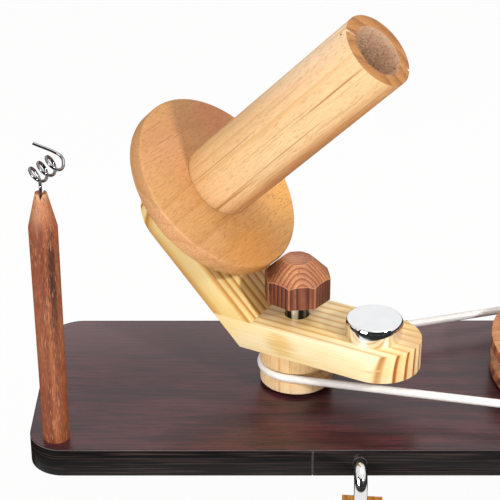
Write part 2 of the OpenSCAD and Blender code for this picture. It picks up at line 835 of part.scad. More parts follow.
// Drive wheel with its belt groove and bearing pockets
module drive_wheel() color("#a85c34") {
    r = wheel_d / 2;
    mid = wheel_t / 2;
    floor_r = r - groove_depth + groove_floor / tan(groove_half);
    difference() {
        at_wheel() translate([0, 0, wheel_z]) difference() {
            rotate_extrude() polygon([[0, 0], [r, 0], [r, mid - groove_w / 2],
                [floor_r, mid - groove_floor], [floor_r, mid + groove_floor],
                [r, mid + groove_w / 2], [r, wheel_t], [0, wheel_t]]);
            bearing_pocket(-1);
            translate([0, 0, wheel_t]) bearing_pocket(1);
            translate([0, 0, -cut]) cylinder(r = relief_r, h = wheel_t + 2 * cut);
        }
        crank_frame() translate([0, 0, wheel_z - cut]) {
            cylinder(d = crank_pin_d + 2 * seat_gap, h = wheel_t + 2 * cut);
            cylinder(r = pin_nut_r + nut_space / 2, h = wheel_t - pin_floor + cut);
        }
    }
}

module wheel_bearing_outer_rings() color("#a4a8ad") {
    at_wheel() {
        translate([0, 0, wheel_z]) outer_ring();
        translate([0, 0, wheel_top - bearing_w]) outer_ring();
    }
}

// Crank: the pin is bolted through the wheel, and the grip turns on it
module crank_pin() color("#b9bcc0") {
    top = grip_z + grip_l + run_gap;
    crank_frame() {
        translate([0, 0, pin_foot]) cylinder(d = crank_pin_d, h = top - pin_foot + pin_head_h / 2);
        translate([0, 0, top]) cylinder(r = pin_head_r, h = pin_head_h);
    }
}

module crank_pin_nut() color("#b9bcc0") {
    crank_frame() translate([0, 0, wheel_top - pin_floor - nut_h])
        hex_nut(pin_nut_af, nut_h, crank_pin_d / 2 + seat_gap);
}

module crank_washer() color("#b9bcc0") {
    crank_frame() translate([0, 0, wheel_top])
        ring(pin_head_r + washer_rim, crank_pin_d / 2 + seat_gap, washer_t);
}

module crank_grip() color("#a85c34") {
    r = grip_d / 2;
    neck = r * grip_neck;
    crank_frame() translate([0, 0, grip_z]) difference() {
        rotate_extrude() intersection() {
            square([r, grip_l]);
            union() {
                translate([r - grip_bow, grip_l * grip_belly])
                    circle(r = grip_bow, $fn = bow_sides);
                square([neck, grip_l]);
            }
        }
        translate([0, 0, -cut])
            cylinder(d = crank_pin_d + 2 * shaft_gap, h = grip_l + 2 * cut);
    }
}

// Table clamp: the rod's level leg sits in the board and its other leg hangs
module clamp_rod() color("#c9ccd0") {
    r = rod_d / 2;
    inner_y = front_y + rod_socket;
    bend_y = rod_y + rod_bend_r;
    translate([0, bend_y, rod_z]) rotate([-90, 0, 0]) cylinder(r = r, h = inner_y - bend_y);
    translate([0, bend_y, rod_z - rod_bend_r]) rotate([90, 0, 90]) rotate([0, 0, 90])
        rotate_extrude(angle = 90) translate([rod_bend_r, 0]) circle(r = r);
    translate([0, rod_y, rod_end]) cylinder(r = r, h = rod_z - rod_bend_r - rod_end);
}

module clamp_jaw() color("#c98a4e") {
    translate([0, rod_y, jaw_top - jaw_t]) rotate([0, 0, jaw_turn]) difference() {
        translate([-jaw_w / 2, -jaw_nose, 0]) cube([jaw_w, jaw_l, jaw_t]);
        translate([0, 0, -cut]) cylinder(r = rod_hole_r, h = jaw_t + 2 * cut);
    }
}

module clamp_washer() color("#c9ccd0") {
    translate([0, rod_y, jaw_top - jaw_t - washer_t])
        ring(clamp_washer_r, rod_hole_r, washer_t);
}

module wing_nut() color("#c9ccd0") {
    hub_r = rod_d / 2 + hub_wall;
    translate([0, rod_y, nut_z - nut_hub_h]) difference() {
        union() {
            cylinder(r1 = hub_r - hub_taper, r2 = hub_r, h = nut_hub_h);
            for (s = [0, 180]) rotate([90, 0, s]) translate([0, 0, -wing_t / 2])
                linear_extrude(wing_t) hull() {
                    translate([hub_r - 1.5 * hub_taper, hub_taper])
                        square([hub_taper / 2, nut_hub_h - 2 * hub_taper]);
                    translate([wing_span / 2 - wing_tip_r, wing_tip_r - wing_h / 2])
                        circle(r = wing_tip_r, $fn = side_n);
                }
        }
        translate([0, 0, -cut]) cylinder(r = rod_hole_r, h = nut_hub_h + 2 * cut);
    }
}

base_board();
edge_band();
guide_post();
yarn_guide();
drive_belt();
main_bolt();
main_bolt_washer();
main_base_spacer();
main_sleeve();
main_collar();
arm_bearing_inner_rings();
friction_knob();
knob_insert();
wheel_bolt();
wheel_bolt_washer();
wheel_base_spacer();
wheel_sleeve();
wheel_top_washer();
wheel_lock_nut();
wheel_bearing_inner_rings();
arm_board();
spindle_board();
joint_dowels();
small_pulley();
pulley_screws();
arm_bearing_outer_rings();
counterweight();
weight_screw();
spindle_bolt();
spindle_bolt_washer();
spindle_base_spacer();
spindle_sleeve();
spindle_nut_washer();
spindle_nut();
spindle_bearing_inner_rings();
spindle_disc();
spindle_boss();
spindle_tube();
spindle_bearing_outer_rings();
drive_wheel();
wheel_bearing_outer_rings();
crank_pin();
crank_pin_nut();
crank_washer();
crank_grip();
clamp_rod();
clamp_jaw();
clamp_washer();
wing_nut();
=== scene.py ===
# %% [markdown]
# # A yarn ball winder in wood, chrome and laminate
# The winder stands on a table. A hand wheel drives a belt, the belt turns a pine
# arm, and the arm carries a tilted beech spindle round a fixed eight-sided knob.
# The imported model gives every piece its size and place. This notebook gives each
# piece its eased edges and its finish, and sets the light and the camera.

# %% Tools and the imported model
import json
import math

import bmesh
import bpy
from mathutils import Matrix, Vector

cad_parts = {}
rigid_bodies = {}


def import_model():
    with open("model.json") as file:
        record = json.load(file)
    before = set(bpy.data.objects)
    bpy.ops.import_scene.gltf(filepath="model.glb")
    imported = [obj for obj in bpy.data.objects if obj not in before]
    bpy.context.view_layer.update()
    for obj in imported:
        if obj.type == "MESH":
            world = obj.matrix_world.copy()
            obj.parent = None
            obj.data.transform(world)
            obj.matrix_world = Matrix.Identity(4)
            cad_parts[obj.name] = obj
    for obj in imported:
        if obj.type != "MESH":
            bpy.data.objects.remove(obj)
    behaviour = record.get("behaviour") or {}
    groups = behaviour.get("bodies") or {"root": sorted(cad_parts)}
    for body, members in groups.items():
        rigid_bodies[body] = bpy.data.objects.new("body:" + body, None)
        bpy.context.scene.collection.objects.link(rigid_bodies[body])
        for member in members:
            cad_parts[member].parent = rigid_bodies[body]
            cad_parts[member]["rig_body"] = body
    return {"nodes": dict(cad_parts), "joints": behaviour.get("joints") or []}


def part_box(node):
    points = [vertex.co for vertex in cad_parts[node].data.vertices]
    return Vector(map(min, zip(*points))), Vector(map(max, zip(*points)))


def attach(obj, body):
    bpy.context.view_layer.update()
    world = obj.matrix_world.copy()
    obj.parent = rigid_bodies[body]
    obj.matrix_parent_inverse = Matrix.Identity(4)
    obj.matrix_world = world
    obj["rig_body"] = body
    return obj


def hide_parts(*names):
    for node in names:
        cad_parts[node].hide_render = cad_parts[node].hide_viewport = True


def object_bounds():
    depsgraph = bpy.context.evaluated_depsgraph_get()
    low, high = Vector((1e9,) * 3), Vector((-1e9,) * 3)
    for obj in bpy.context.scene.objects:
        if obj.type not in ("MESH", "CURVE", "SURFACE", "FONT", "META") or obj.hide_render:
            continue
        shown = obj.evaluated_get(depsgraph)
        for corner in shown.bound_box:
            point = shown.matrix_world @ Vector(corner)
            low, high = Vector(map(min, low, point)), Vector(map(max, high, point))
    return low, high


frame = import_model()
cad_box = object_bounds()
MM = 0.001
joints = {joint["name"]: joint for joint in frame["joints"]}
print("pieces in the packed model:", len(frame["nodes"]))

# %% [markdown]
# ## Camera
# A long lens far away keeps the board's sides nearly parallel, as in a catalogue
# picture. The camera's place and angles come from fitting a pinhole camera to
# the board's edges, the disc and the tube. An object's matrix takes the three
# directions right, up and backwards, so the roll is set without Euler angles.

# %% Camera
CAMERA_PLACE = Vector((-60.66, -913.5, 580.21)) * MM
CAMERA_PITCH = math.radians(27.19)
CAMERA_YAW = math.radians(-0.27)
CAMERA_ROLL = math.radians(-0.17)
CAMERA_LENS = 122.3
CAMERA_SENSOR = 36
CAMERA_NEAREST = 0.05

ahead = Vector((
    math.sin(CAMERA_YAW) * math.cos(CAMERA_PITCH),
    math.cos(CAMERA_YAW) * math.cos(CAMERA_PITCH),
    -math.sin(CAMERA_PITCH),
))
level = Vector((math.cos(CAMERA_YAW), -math.sin(CAMERA_YAW), 0))
upright = level.cross(ahead)
right = level * math.cos(CAMERA_ROLL) + upright * math.sin(CAMERA_ROLL)
up = upright * math.cos(CAMERA_ROLL) - level * math.sin(CAMERA_ROLL)

camera = bpy.data.objects.new("camera", bpy.data.cameras.new("camera"))
camera.data.lens = CAMERA_LENS
camera.data.sensor_width = CAMERA_SENSOR
camera.data.clip_start = CAMERA_NEAREST
camera.matrix_world = (
    Matrix.Translation(CAMERA_PLACE) @ Matrix((right, up, -ahead)).transposed().to_4x4()
)
bpy.context.scene.collection.objects.link(camera)
bpy.context.scene.camera = camera
bpy.context.scene.view_settings.view_transform = "Standard"
print("camera distance from the origin, m:", round(CAMERA_PLACE.length, 3))

# %% [markdown]
# ## Colours and nodes
# Paint charts and photographs give colours in sRGB, but a shader works in linear
# light, so one function turns a hex value into linear numbers. A second one adds
# a node, sets its options and links its sockets, and fills a colour ramp. It
# serves shaders and Geometry Nodes alike.

# %% Colour and node helpers


def linear(hex_colour):
    """An sRGB hex value as linear red, green, blue and alpha."""
    channels = [int(hex_colour[i:i + 2], 16) / 255 for i in (1, 3, 5)]
    return tuple(
        c / 12.92 if c <= 0.04045 else ((c + 0.055) / 1.055) ** 2.4 for c in channels
    ) + (1.0,)


def add(tree, kind, inputs=None, stops=(), **options):
    """One node of a tree, with its options, values and links.

    stops are a colour ramp's (place, hex colour)."""
    made = tree.nodes.new(kind)
    for option, value in options.items():
        setattr(made, option, value)
    for key, value in (inputs or {}).items():
        if isinstance(value, bpy.types.NodeSocket):
            tree.links.new(value, made.inputs[key])
        else:
            made.inputs[key].default_value = value
    if stops:
        band = made.color_ramp
        while len(band.elements) < len(stops):
            band.elements.new(0.5)
        for element, (place, colour) in zip(band.elements, stops):
            element.position = place
            element.color = linear(colour)
    return made


def finish_material(name, tree, shader_inputs, height=None, depth=0.0):
    """The shader and output of a material, with an optional bump of that depth."""
    inputs = dict(shader_inputs)
    if height is not None:
        bump = add(tree, "ShaderNodeBump", {"Height": height, "Distance": depth})
        inputs["Normal"] = bump.outputs["Normal"]
    shader = add(tree, "ShaderNodeBsdfPrincipled", inputs)
    add(tree, "ShaderNodeOutputMaterial", {"Surface": shader.outputs["BSDF"]})
    print("material:", name)


def empty_material(name):
    """A material with an empty node tree."""
    made = bpy.data.materials.new(name)
    made.use_nodes = True
    made.node_tree.nodes.clear()
    return made


# %% [markdown]
# ## Floor and world
# The picture has a white sweep and no horizon. The floor and the world are white
# to the camera, in mirrors and through glass, which Light Path tells apart, while
# they light the winder at a plain level. The floor keeps a faint shadow.

# %% Floor and world
FLOOR_GAP = 0.5 * MM
FLOOR_SIZE = 6.0
FLOOR_PAPER = "#f2f2f2"
FLOOR_SHADOW_SHARE = 0.04
WORLD_AMBIENT = 0.36
AMBIENT_TINT = "#ffece2"
WHITE = (1, 1, 1, 1)

half = FLOOR_SIZE / 2
floor_z = cad_box[0].z - FLOOR_GAP
floor_mesh = bpy.data.meshes.new("floor")
floor_mesh.from_pydata([
    (-half, -half, floor_z), (half, -half, floor_z),
    (half, half, floor_z), (-half, half, floor_z),
], [], [(0, 1, 2, 3)])
floor = bpy.data.objects.new("floor", floor_mesh)
bpy.context.scene.collection.objects.link(floor)


def shown_white(tree):
    """1 for rays from the camera, off a mirror or through glass, else 0."""
    path = add(tree, "ShaderNodeLightPath").outputs
    seen = add(tree, "ShaderNodeMath", {
        0: path["Is Camera Ray"], 1: path["Is Transmission Ray"],
    }, operation="MAXIMUM")
    return add(tree, "ShaderNodeMath", {
        0: seen.outputs[0], 1: path["Is Glossy Ray"],
    }, operation="MAXIMUM").outputs[0]


floor_paint = empty_material("white_paper_sweep")
tree = floor_paint.node_tree
paper = add(tree, "ShaderNodeBsdfDiffuse", {"Color": linear(FLOOR_PAPER)})
glow = add(tree, "ShaderNodeEmission", {"Color": WHITE, "Strength": shown_white(tree)})
share = add(tree, "ShaderNodeMath", {
    0: shown_white(tree), 1: 1 - FLOOR_SHADOW_SHARE,
}, operation="MULTIPLY")
blend = add(tree, "ShaderNodeMixShader", {
    0: share.outputs[0], 1: paper.outputs[0], 2: glow.outputs[0],
})
add(tree, "ShaderNodeOutputMaterial", {"Surface": blend.outputs[0]})
floor_mesh.materials.append(floor_paint)

world = bpy.data.worlds.new("studio")
world.use_nodes = True
world.node_tree.nodes.clear()
tree = world.node_tree
strength = add(tree, "ShaderNodeMapRange", {
    "Value": shown_white(tree), "To Min": WORLD_AMBIENT, "To Max": 1.0,
})
tint = add(tree, "ShaderNodeMix", {
    "Factor": shown_white(tree), 6: linear(AMBIENT_TINT), 7: WHITE,
}, data_type="RGBA")
sky = add(tree, "ShaderNodeBackground", {
    "Color": tint.outputs[2], "Strength": strength.outputs["Result"],
})
add(tree, "ShaderNodeOutputWorld", {"Surface": sky.outputs[0]})
bpy.context.scene.world = world
print("floor height, mm:", round(floor_z / MM, 1))

# %% [markdown]
# ## Black cards
# Polished metal needs something dark to reflect, or it looks like paper. A
# photographer stands black cards round the set for this: a low fence all round, a
# tall one behind the camera, and two that lie on the table, a ring and a half disc
# under the board, which draws the dark edges of the rods. Only mirrors see them
# here: they neither show in any view nor take light off the winder.

# %% Black cards
CARD_RADIUS = 2.4
FENCE_TOP = 0.6
TALL_TOP = 2.4
TALL_TURN = 65
RING_NEAR = 0.32
RING_FAR = 2.2
CARD_LIFT = 1 * MM
CARD_STEPS = 48
CARD_GLOW = 0.03

card_paint = empty_material("black_card_felt")
tree = card_paint.node_tree
felt = add(tree, "ShaderNodeEmission", {"Color": WHITE, "Strength": CARD_GLOW})
add(tree, "ShaderNodeOutputMaterial", {"Surface": felt.outputs[0]})


def black_card(name, low, high, start, end):
    """A card between two arcs of (radius, z), over some headings in degrees."""
    verts = []
    for k in range(CARD_STEPS + 1):
        turn = math.radians(start + (end - start) * k / CARD_STEPS)
        verts += [(r * math.cos(turn), r * math.sin(turn), z) for r, z in (low, high)]
    faces = [(2 * k, 2 * k + 2, 2 * k + 3, 2 * k + 1) for k in range(CARD_STEPS)]
    mesh = bpy.data.meshes.new(name)
    mesh.from_pydata(verts, [], faces)
    mesh.materials.append(card_paint)
    made = bpy.data.objects.new(name, mesh)
    bpy.context.scene.collection.objects.link(made)
    made.visible_camera = False
    made.visible_diffuse = False
    made.visible_transmission = False
    made.visible_shadow = False
    print("card:", name)


card_z = floor_z + CARD_LIFT
black_card("fence_card", (CARD_RADIUS, floor_z), (CARD_RADIUS, FENCE_TOP), 0, 360)
black_card("tall_card", (CARD_RADIUS, FENCE_TOP), (CARD_RADIUS, TALL_TOP),
           -90 - TALL_TURN, -90 + TALL_TURN)
black_card("table_card", (RING_NEAR, card_z), (RING_FAR, card_z), 0, 360)
black_card("under_card", (0, card_z), (RING_NEAR, card_z), 0, 180)

# %% [markdown]
# ## Lamps
# Three soft boxes look at the winder. The key lamp at the front right is small, so
# the tube's shadow on the disc has a crisp edge. A wide one fills the left side,
# and another the top. Their power is set so that a colour renders about as written.

# %% Lamps
LAMP_AIM = Vector((-30, 0, 80)) * MM
# name, direction, distance and size in m, power in W
LAMPS = [
    ("key", (0.63, -0.61, 0.48), 1.3, 0.11, 8.8),
    ("front_left", (-0.62, -0.7, 0.28), 1.6, 0.7, 17.0),
    ("top", (0.3, -0.1, 0.95), 1.4, 0.9, 8.0),
]

for name, direction, distance, size, power in LAMPS:
    light = bpy.data.lights.new(name, "AREA")
    light.size = size
    light.energy = power
    lamp = bpy.data.objects.new(name, light)
    away = Vector(direction).normalized()
    lamp.location = LAMP_AIM + away * distance
    lamp.rotation_mode = "QUATERNION"
    lamp.rotation_quaternion = away.to_track_quat("Z", "Y")
    bpy.context.scene.collection.objects.link(lamp)
    print("lamp:", name, power, "W")

# %% [markdown]
# ## Wood
# Wood is a solid pattern: growth rings round a pith that runs along the grain.
# Where a flat board cuts the rings it shows lines, and where it crosses the grain
# it shows arcs. So one ring pattern in the piece's own directions gives every
# face its right figure. The grain runs along the pattern's X. The Wave texture's
# rings give the growth rings, a noise drawn out along the grain gives the fibres,
# and another, cut off hard, gives pores and flecks.
#
# End grain soaks up oil and shows its rings more strongly, so it has its own ring
# colours. The face's direction tells where it begins. Handling, heartwood and
# knots leave broader patches, which are laid on as soft ragged spots. On several
# pieces the same spots, and a lightening of the knob's corners, are painted light
# and painted shade. Real fibres and pores are about 0.1 mm wide, too fine for this
# picture, so they are drawn 0.3 mm wide or more.

# %% Spots on wood
SPOT_RAG = 0.9
SPOT_CORE = 0.2


def spotted(tree, own, rag, colour, spots):
    """A colour with soft spots of others, whose outline a noise makes ragged.

    Each spot is ((x, y, z), (reach along, reach across) the grain, hex, share)."""
    for spot, (along, across), hue, most in spots:
        away = add(tree, "ShaderNodeVectorMath", {
            0: own, 1: Vector(spot) * MM,
        }, operation="SUBTRACT").outputs[0]
        away = add(tree, "ShaderNodeVectorMath", {
            0: away, 1: (1 / (along * MM), 1 / (across * MM), 1 / (across * MM)),
        }, operation="MULTIPLY").outputs[0]
        away = add(tree, "ShaderNodeVectorMath", {0: away}, operation="LENGTH")
        ragged = add(tree, "ShaderNodeMath", {
            0: rag, 1: SPOT_RAG, 2: away.outputs["Value"],
        }, operation="MULTIPLY_ADD").outputs[0]
        inside = add(tree, "ShaderNodeMapRange", {
            "Value": ragged, "From Min": 1 + SPOT_RAG / 2,
            "From Max": SPOT_CORE + SPOT_RAG / 2, "To Max": most,
        }, interpolation_type="SMOOTHSTEP").outputs["Result"]
        colour = add(tree, "ShaderNodeMix", {
            "Factor": inside, 6: colour, 7: linear(hue),
        }, data_type="RGBA").outputs[2]
    return colour


def lighten_corners(tree, own, colour, corner_highlight):
    """A colour that lightens away from the grain line through the middle: a painted
    highlight on the corners that stand out furthest.

    corner_highlight is (from, to, hex, share), the distances in mm."""
    begin, complete, hue, most = corner_highlight
    spoke = add(tree, "ShaderNodeVectorMath", {0: own, 1: (0, 1, 1)},
                operation="MULTIPLY").outputs[0]
    radius = add(tree, "ShaderNodeVectorMath", {0: spoke}, operation="LENGTH")
    corner_share = add(tree, "ShaderNodeMapRange", {
        "Value": radius.outputs["Value"], "From Min": begin * MM,
        "From Max": complete * MM, "To Max": most,
    }).outputs["Result"]
    return add(tree, "ShaderNodeMix", {
        "Factor": corner_share, 6: colour, 7: linear(hue),
    }, data_type="RGBA").outputs[2]


# %% The wood shader
# at scale 1 the Wave texture runs 20 radians a metre, and a ring is one turn
WAVE_TURN = 2 * math.pi / 20
RING_WOBBLE_SIZE = 0.35
# a noise strays about a quarter from its middle, so this makes it reach the shift
NOISE_REACH = 4
FIBRE_RANGE = (0.3, 0.7)
PATCH_RANGE = (0.35, 0.65)
PATCH_STRETCH = 0.4
MARK_EDGE = 0.1
WOOD_IOR = 1.5


def wood(name, place, pith, ring, rings, wobble=2.0, fibre=0.9, fibre_depth=0.1,
         fibre_run=30, warp=(22, 2.0), marks=(), tone=("#ffffff", "#ffffff"),
         tone_size=40, roughness=(0.42, 0.56), bump=0.05, stretch=0.12,
         end_rings=None, cut=(0.15, 0.85), grain_spots=(), face_spots=(), corner_highlight=None):
    """A wood whose grain follows the X of place.

    pith is the pith's (Y, Z) from place, ring the ring spacing, fibre the fibre
    width, fibre_run how many times longer it is, warp the (size, shift) by which
    rings wander and tone_size the size of the broad patches, in mm. Each of marks
    is (length, width, rarity, hex). rings are the stops of one growth ring, and
    end_rings those on faces that cut across the grain. cut is the squared cosine
    between grain and normal at which they begin and are complete. grain_spots are
    spots on the long grain alone, and face_spots are spots on every face: stains,
    and on some pieces painted light and painted shade. corner_highlight is a painted
    highlight on the corners."""
    made = empty_material(name)
    tree = made.node_tree
    turn = place.to_3x3().transposed()
    coords = add(tree, "ShaderNodeTexCoord").outputs
    own = add(tree, "ShaderNodeMapping", {
        "Vector": coords["Object"], "Location": -(turn @ place.translation),
        "Rotation": turn.to_euler("XYZ"),
    }).outputs[0]
    local = add(tree, "ShaderNodeVectorMath", {
        0: own, 1: (0, pith[0] * MM, pith[1] * MM),
    }, operation="SUBTRACT").outputs[0]

    def drawn(share):
        return add(tree, "ShaderNodeVectorMath", {0: local, 1: (share, 1, 1)},
                   operation="MULTIPLY").outputs[0]

    # growth rings, moved about by a slow noise
    size, shift = warp
    wander = add(tree, "ShaderNodeTexNoise", {
        "Vector": drawn(stretch), "Scale": 1 / (size * MM), "Detail": 1.0,
    }).outputs["Color"]
    centred = add(tree, "ShaderNodeVectorMath", {0: wander, 1: (0.5, 0.5, 0.5)},
                  operation="SUBTRACT").outputs[0]
    moved = add(tree, "ShaderNodeVectorMath", {
        0: centred, 1: (NOISE_REACH * shift * MM,) * 3, 2: drawn(stretch),
    }, operation="MULTIPLY_ADD").outputs[0]
    growth = add(tree, "ShaderNodeTexWave", {
        "Vector": moved, "Scale": WAVE_TURN / (ring * MM), "Distortion": wobble,
        "Detail": 2.0, "Detail Scale": RING_WOBBLE_SIZE, "Detail Roughness": 0.5,
    }, wave_type="RINGS", rings_direction="X", wave_profile="SAW").outputs["Fac"]
    colour = add(tree, "ShaderNodeValToRGB", {"Fac": growth}, rings).outputs["Color"]
    threads = add(tree, "ShaderNodeTexNoise", {
        "Vector": drawn(1 / fibre_run), "Scale": 1 / (fibre * MM), "Detail": 2.0,
    }).outputs["Fac"]
    # spots on the long grain: stains, and on some pieces painted light and shade
    colour = spotted(tree, own, threads, colour, grain_spots)

    # end grain, where a face looks along the grain
    facing = add(tree, "ShaderNodeVectorMath", {
        0: coords["Normal"], 1: place.to_3x3().col[0],
    }, operation="DOT_PRODUCT").outputs["Value"]
    across = add(tree, "ShaderNodeMath", {0: facing, 1: facing}, operation="MULTIPLY")
    crossing = add(tree, "ShaderNodeMapRange", {
        "Value": across.outputs[0], "From Min": cut[0], "From Max": cut[1],
    }).outputs["Result"]
    end_grain = add(tree, "ShaderNodeValToRGB", {"Fac": growth}, end_rings or rings)
    colour = add(tree, "ShaderNodeMix", {
        "Factor": crossing, 6: colour, 7: end_grain.outputs["Color"],
    }, data_type="RGBA").outputs[2]
    # spots on every face: stains, and on some pieces painted light and shade
    colour = spotted(tree, own, threads, colour, face_spots)
    # painted highlight on the corners that stand out furthest
    if corner_highlight:
        colour = lighten_corners(tree, own, colour, corner_highlight)

    # fibres, then broad patches of tone
    lighter = add(tree, "ShaderNodeMapRange", {
        "Value": threads, "From Min": FIBRE_RANGE[0], "From Max": FIBRE_RANGE[1],
        "To Min": 1 - fibre_depth, "To Max": 1 + fibre_depth,
    }).outputs["Result"]
    colour = add(tree, "ShaderNodeVectorMath", {0: colour, "Scale": lighter},
                 operation="SCALE").outputs[0]
    patches = add(tree, "ShaderNodeTexNoise", {
        "Vector": drawn(PATCH_STRETCH), "Scale": 1 / (tone_size * MM), "Detail": 2.0,
    }).outputs["Fac"]
    tint = add(tree, "ShaderNodeValToRGB", {"Fac": patches},
               list(zip(PATCH_RANGE, tone))).outputs["Color"]
    colour = add(tree, "ShaderNodeVectorMath", {0: colour, 1: tint},
                 operation="MULTIPLY").outputs[0]

    # pores and flecks, cut a little into the surface
    height = threads
    for length, width, rarity, dark in marks:
        dots = add(tree, "ShaderNodeTexNoise", {
            "Vector": drawn(width / length), "Scale": 1 / (2 * width * MM),
            "Detail": 1.0,
        }).outputs["Fac"]
        mark = add(tree, "ShaderNodeMapRange", {
            "Value": dots, "From Min": rarity, "From Max": rarity + MARK_EDGE,
        }).outputs["Result"]
        colour = add(tree, "ShaderNodeMix", {
            "Factor": mark, 6: colour, 7: linear(dark),
        }, data_type="RGBA").outputs[2]
        height = add(tree, "ShaderNodeMath", {0: height, 1: mark},
                     operation="SUBTRACT").outputs[0]

    dull = add(tree, "ShaderNodeMapRange", {
        "Value": threads, "To Min": roughness[0], "To Max": roughness[1],
    }).outputs["Result"]
    finish_material(name, tree, {
        "Base Color": colour, "Roughness": dull, "IOR": WOOD_IOR,
    }, height, bump * MM)
    return made


# %% [markdown]
# ## Directions of the moving groups
# The arm and the spindle stand askew to the board. Their directions are taken
# from the joints, so that the grain of each piece runs along the piece itself.

# %% Places of the arm and the spindle
UP = Vector((0, 0, 1))
spindle_axis = Vector(joints["spindle_spin"]["axis"]).normalized()
spindle_spot = Vector(joints["spindle_spin"]["pos_m"])
arm_dir = Vector((spindle_axis.x, spindle_axis.y, 0)).normalized()
arm_side = UP.cross(arm_dir)
slope_dir = arm_side.cross(spindle_axis).normalized()


def place_at(spot, grain, normal):
    """A place whose X runs along the grain and whose Z is the given normal."""
    z = Vector(normal).normalized()
    x = (Vector(grain) - z * Vector(grain).dot(z)).normalized()
    turn = Matrix((x, z.cross(x), z)).transposed()
    return Matrix.Translation(Vector(spot)) @ turn.to_4x4()


def middle(node):
    """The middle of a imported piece's box."""
    low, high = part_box(node)
    return (low + high) / 2


print("arm heading, degrees:", round(math.degrees(math.atan2(arm_dir.y, arm_dir.x)), 2))

# %% [markdown]
# ## Pine, beech and rosewood
# The arm is pine sawn so that its rings stand upright across its width: straight
# orange lines on the top, stripes on the round end and soft patches on the side.
# The spindle is beech, even and tan with short dark pores. The knob, the post,
# the wheel and the grip are Indian rosewood, red-brown with dark streaks. Each
# piece gets its own finish, because its grain, its rings and its spots lie in
# their own places. Some spots are painted light and painted shade, as marked at
# each. Ring spacings are those of the real boards.

# %% Pine finishes
PINE_RINGS = [(0.0, "#eed6a6"), (0.12, "#f8ebc8"), (0.55, "#f6e6be"),
              (0.78, "#e6c994"), (0.9, "#d6ad74"), (1.0, "#ecd2a0")]
PINE_ENDS = [(0.0, "#ecd09a"), (0.1, "#f8e6bc"), (0.62, "#efd4a0"),
             (0.78, "#bb7630"), (0.9, "#8c4a1a"), (1.0, "#d29c58")]

# sawn and lacquered: cream wood, a yellow patch on the side, orange end stripes
arm_place = place_at(middle("arm_board"), arm_dir, UP)
arm_pine = wood(
    "lacquered_pine_arm", arm_place, (159, -20), 6.2, PINE_RINGS, wobble=1.2,
    fibre=0.8, fibre_depth=0.05, tone=("#fdf0cc", "#ffffff"), tone_size=20,
    warp=(34, 1.2), marks=[(40, 1.5, 0.7, "#e6bf84")], roughness=(0.35, 0.5),
    end_rings=PINE_ENDS, cut=(0.02, 0.3),
    grain_spots=[
        ((-10, -25, 0), (14, 11), "#e6c47a", 0.85),
        ((20, -25, -7), (44, 6), "#f1d68e", 0.5),
        ((72, 4, 9), (28, 22), "#d4aa72", 0.8),
    ],
)

# the same timber with stronger, darker lines, and yellower from its lacquer
slope_place = place_at(middle("spindle_board"), slope_dir, spindle_axis)
slope_pine = wood(
    "lacquered_pine_slope", slope_place, (-150, 30), 6.2,
    [(0.0, "#e4bf80"), (0.1, "#f5e3b4"), (0.5, "#f1d9a0"), (0.74, "#d8aa66"),
     (0.88, "#bd8444"), (1.0, "#dcb06c")], wobble=2.0,
    fibre=0.8, fibre_depth=0.05, tone=("#fff0c8", "#fffbe8"), roughness=(0.35, 0.5),
    warp=(40, 1.0), end_rings=PINE_ENDS,
)

# %% Beech finishes
BEECH_RINGS = [(0.0, "#c9a471"), (0.75, "#c5a06b"), (0.93, "#bc9560"),
               (1.0, "#c8a26f")]
TUBE_RINGS = [(0.0, "#e2c295"), (0.7, "#dfbd8c"), (0.93, "#d6b07a"),
              (1.0, "#e1c092")]
TUBE_ENDS = [(0.0, "#b58248"), (0.4, "#ab763d"), (0.85, "#8d5829"),
             (1.0, "#b07e42")]

# turned and oiled: tan with short pores. Its spots are painted light and shade:
# warm shade low down, light on the right where the tube's soft shade falls, and a
# reddish shadow colour at the top under the tube's cast shadow
disc_place = place_at(middle("spindle_disc"), arm_side, spindle_axis)
disc_beech = wood(
    "oiled_beech_disc", disc_place, (50, 60), 10, BEECH_RINGS, wobble=4.0,
    fibre=0.7, fibre_depth=0.1, fibre_run=14, warp=(30, 4.0),
    tone=("#ffe8dc", "#fff0d6"), tone_size=50, stretch=0.25,
    marks=[(2.2, 0.3, 0.57, "#b37c48"), (22, 0.6, 0.69, "#a87240")],
    grain_spots=[
        # painted light: a lighter patch on the right, where the tube's soft shade falls
        ((45, -25, 6), (45, 34), "#f0c078", 0.85),
        # painted shade: a warmer orange low down
        ((-15, -45, 6), (40, 28), "#cf964a", 0.75),
        # painted shadow colour: pinker at the upper left, round the tube's shadow
        ((-20, 40, 6), (50, 30), "#c99c78", 0.5),
        # painted shadow colour: redder where the tube's cast shadow falls
        ((34, 33, 6), (26, 26), "#cc936a", 0.9),
    ],
    end_rings=[(0.0, "#d6ae84"), (0.75, "#d0a67a"), (0.93, "#c69c6e"),
               (1.0, "#d4ac82")],
)

# the lightest beech with long brown lines; its pale upper side is a painted sheen,
# and its brown lower edge is painted shade
tube_place = place_at(middle("spindle_tube"), spindle_axis, slope_dir)
tube_beech = wood(
    "oiled_beech_tube", tube_place, (45, 20), 9, TUBE_RINGS, wobble=2.5,
    fibre=0.7, fibre_depth=0.1, fibre_run=18, tone=("#fff6ee", "#fffcf4"),
    marks=[(2.4, 0.3, 0.6, "#cfa16b"), (60, 0.8, 0.66, "#b47f4c")],
    end_rings=TUBE_ENDS,
    grain_spots=[
        # painted sheen: paler along the upper side
        ((60, 6, -24), (100, 28), "#f2dfc4", 0.75),
        # painted shade: browner along the lower edge
        ((0, 7, 23), (130, 15), "#bd7c48", 0.8),
    ],
)

# rubbed by yarn and hands, so darker than the faces on both sides of it
tube_edge = wood(
    "handled_beech_edge", tube_place, (45, 20), 9,
    [(0.0, "#b5834c"), (1.0, "#9a6a3a")], fibre_depth=0.15, fibre_run=3,
)

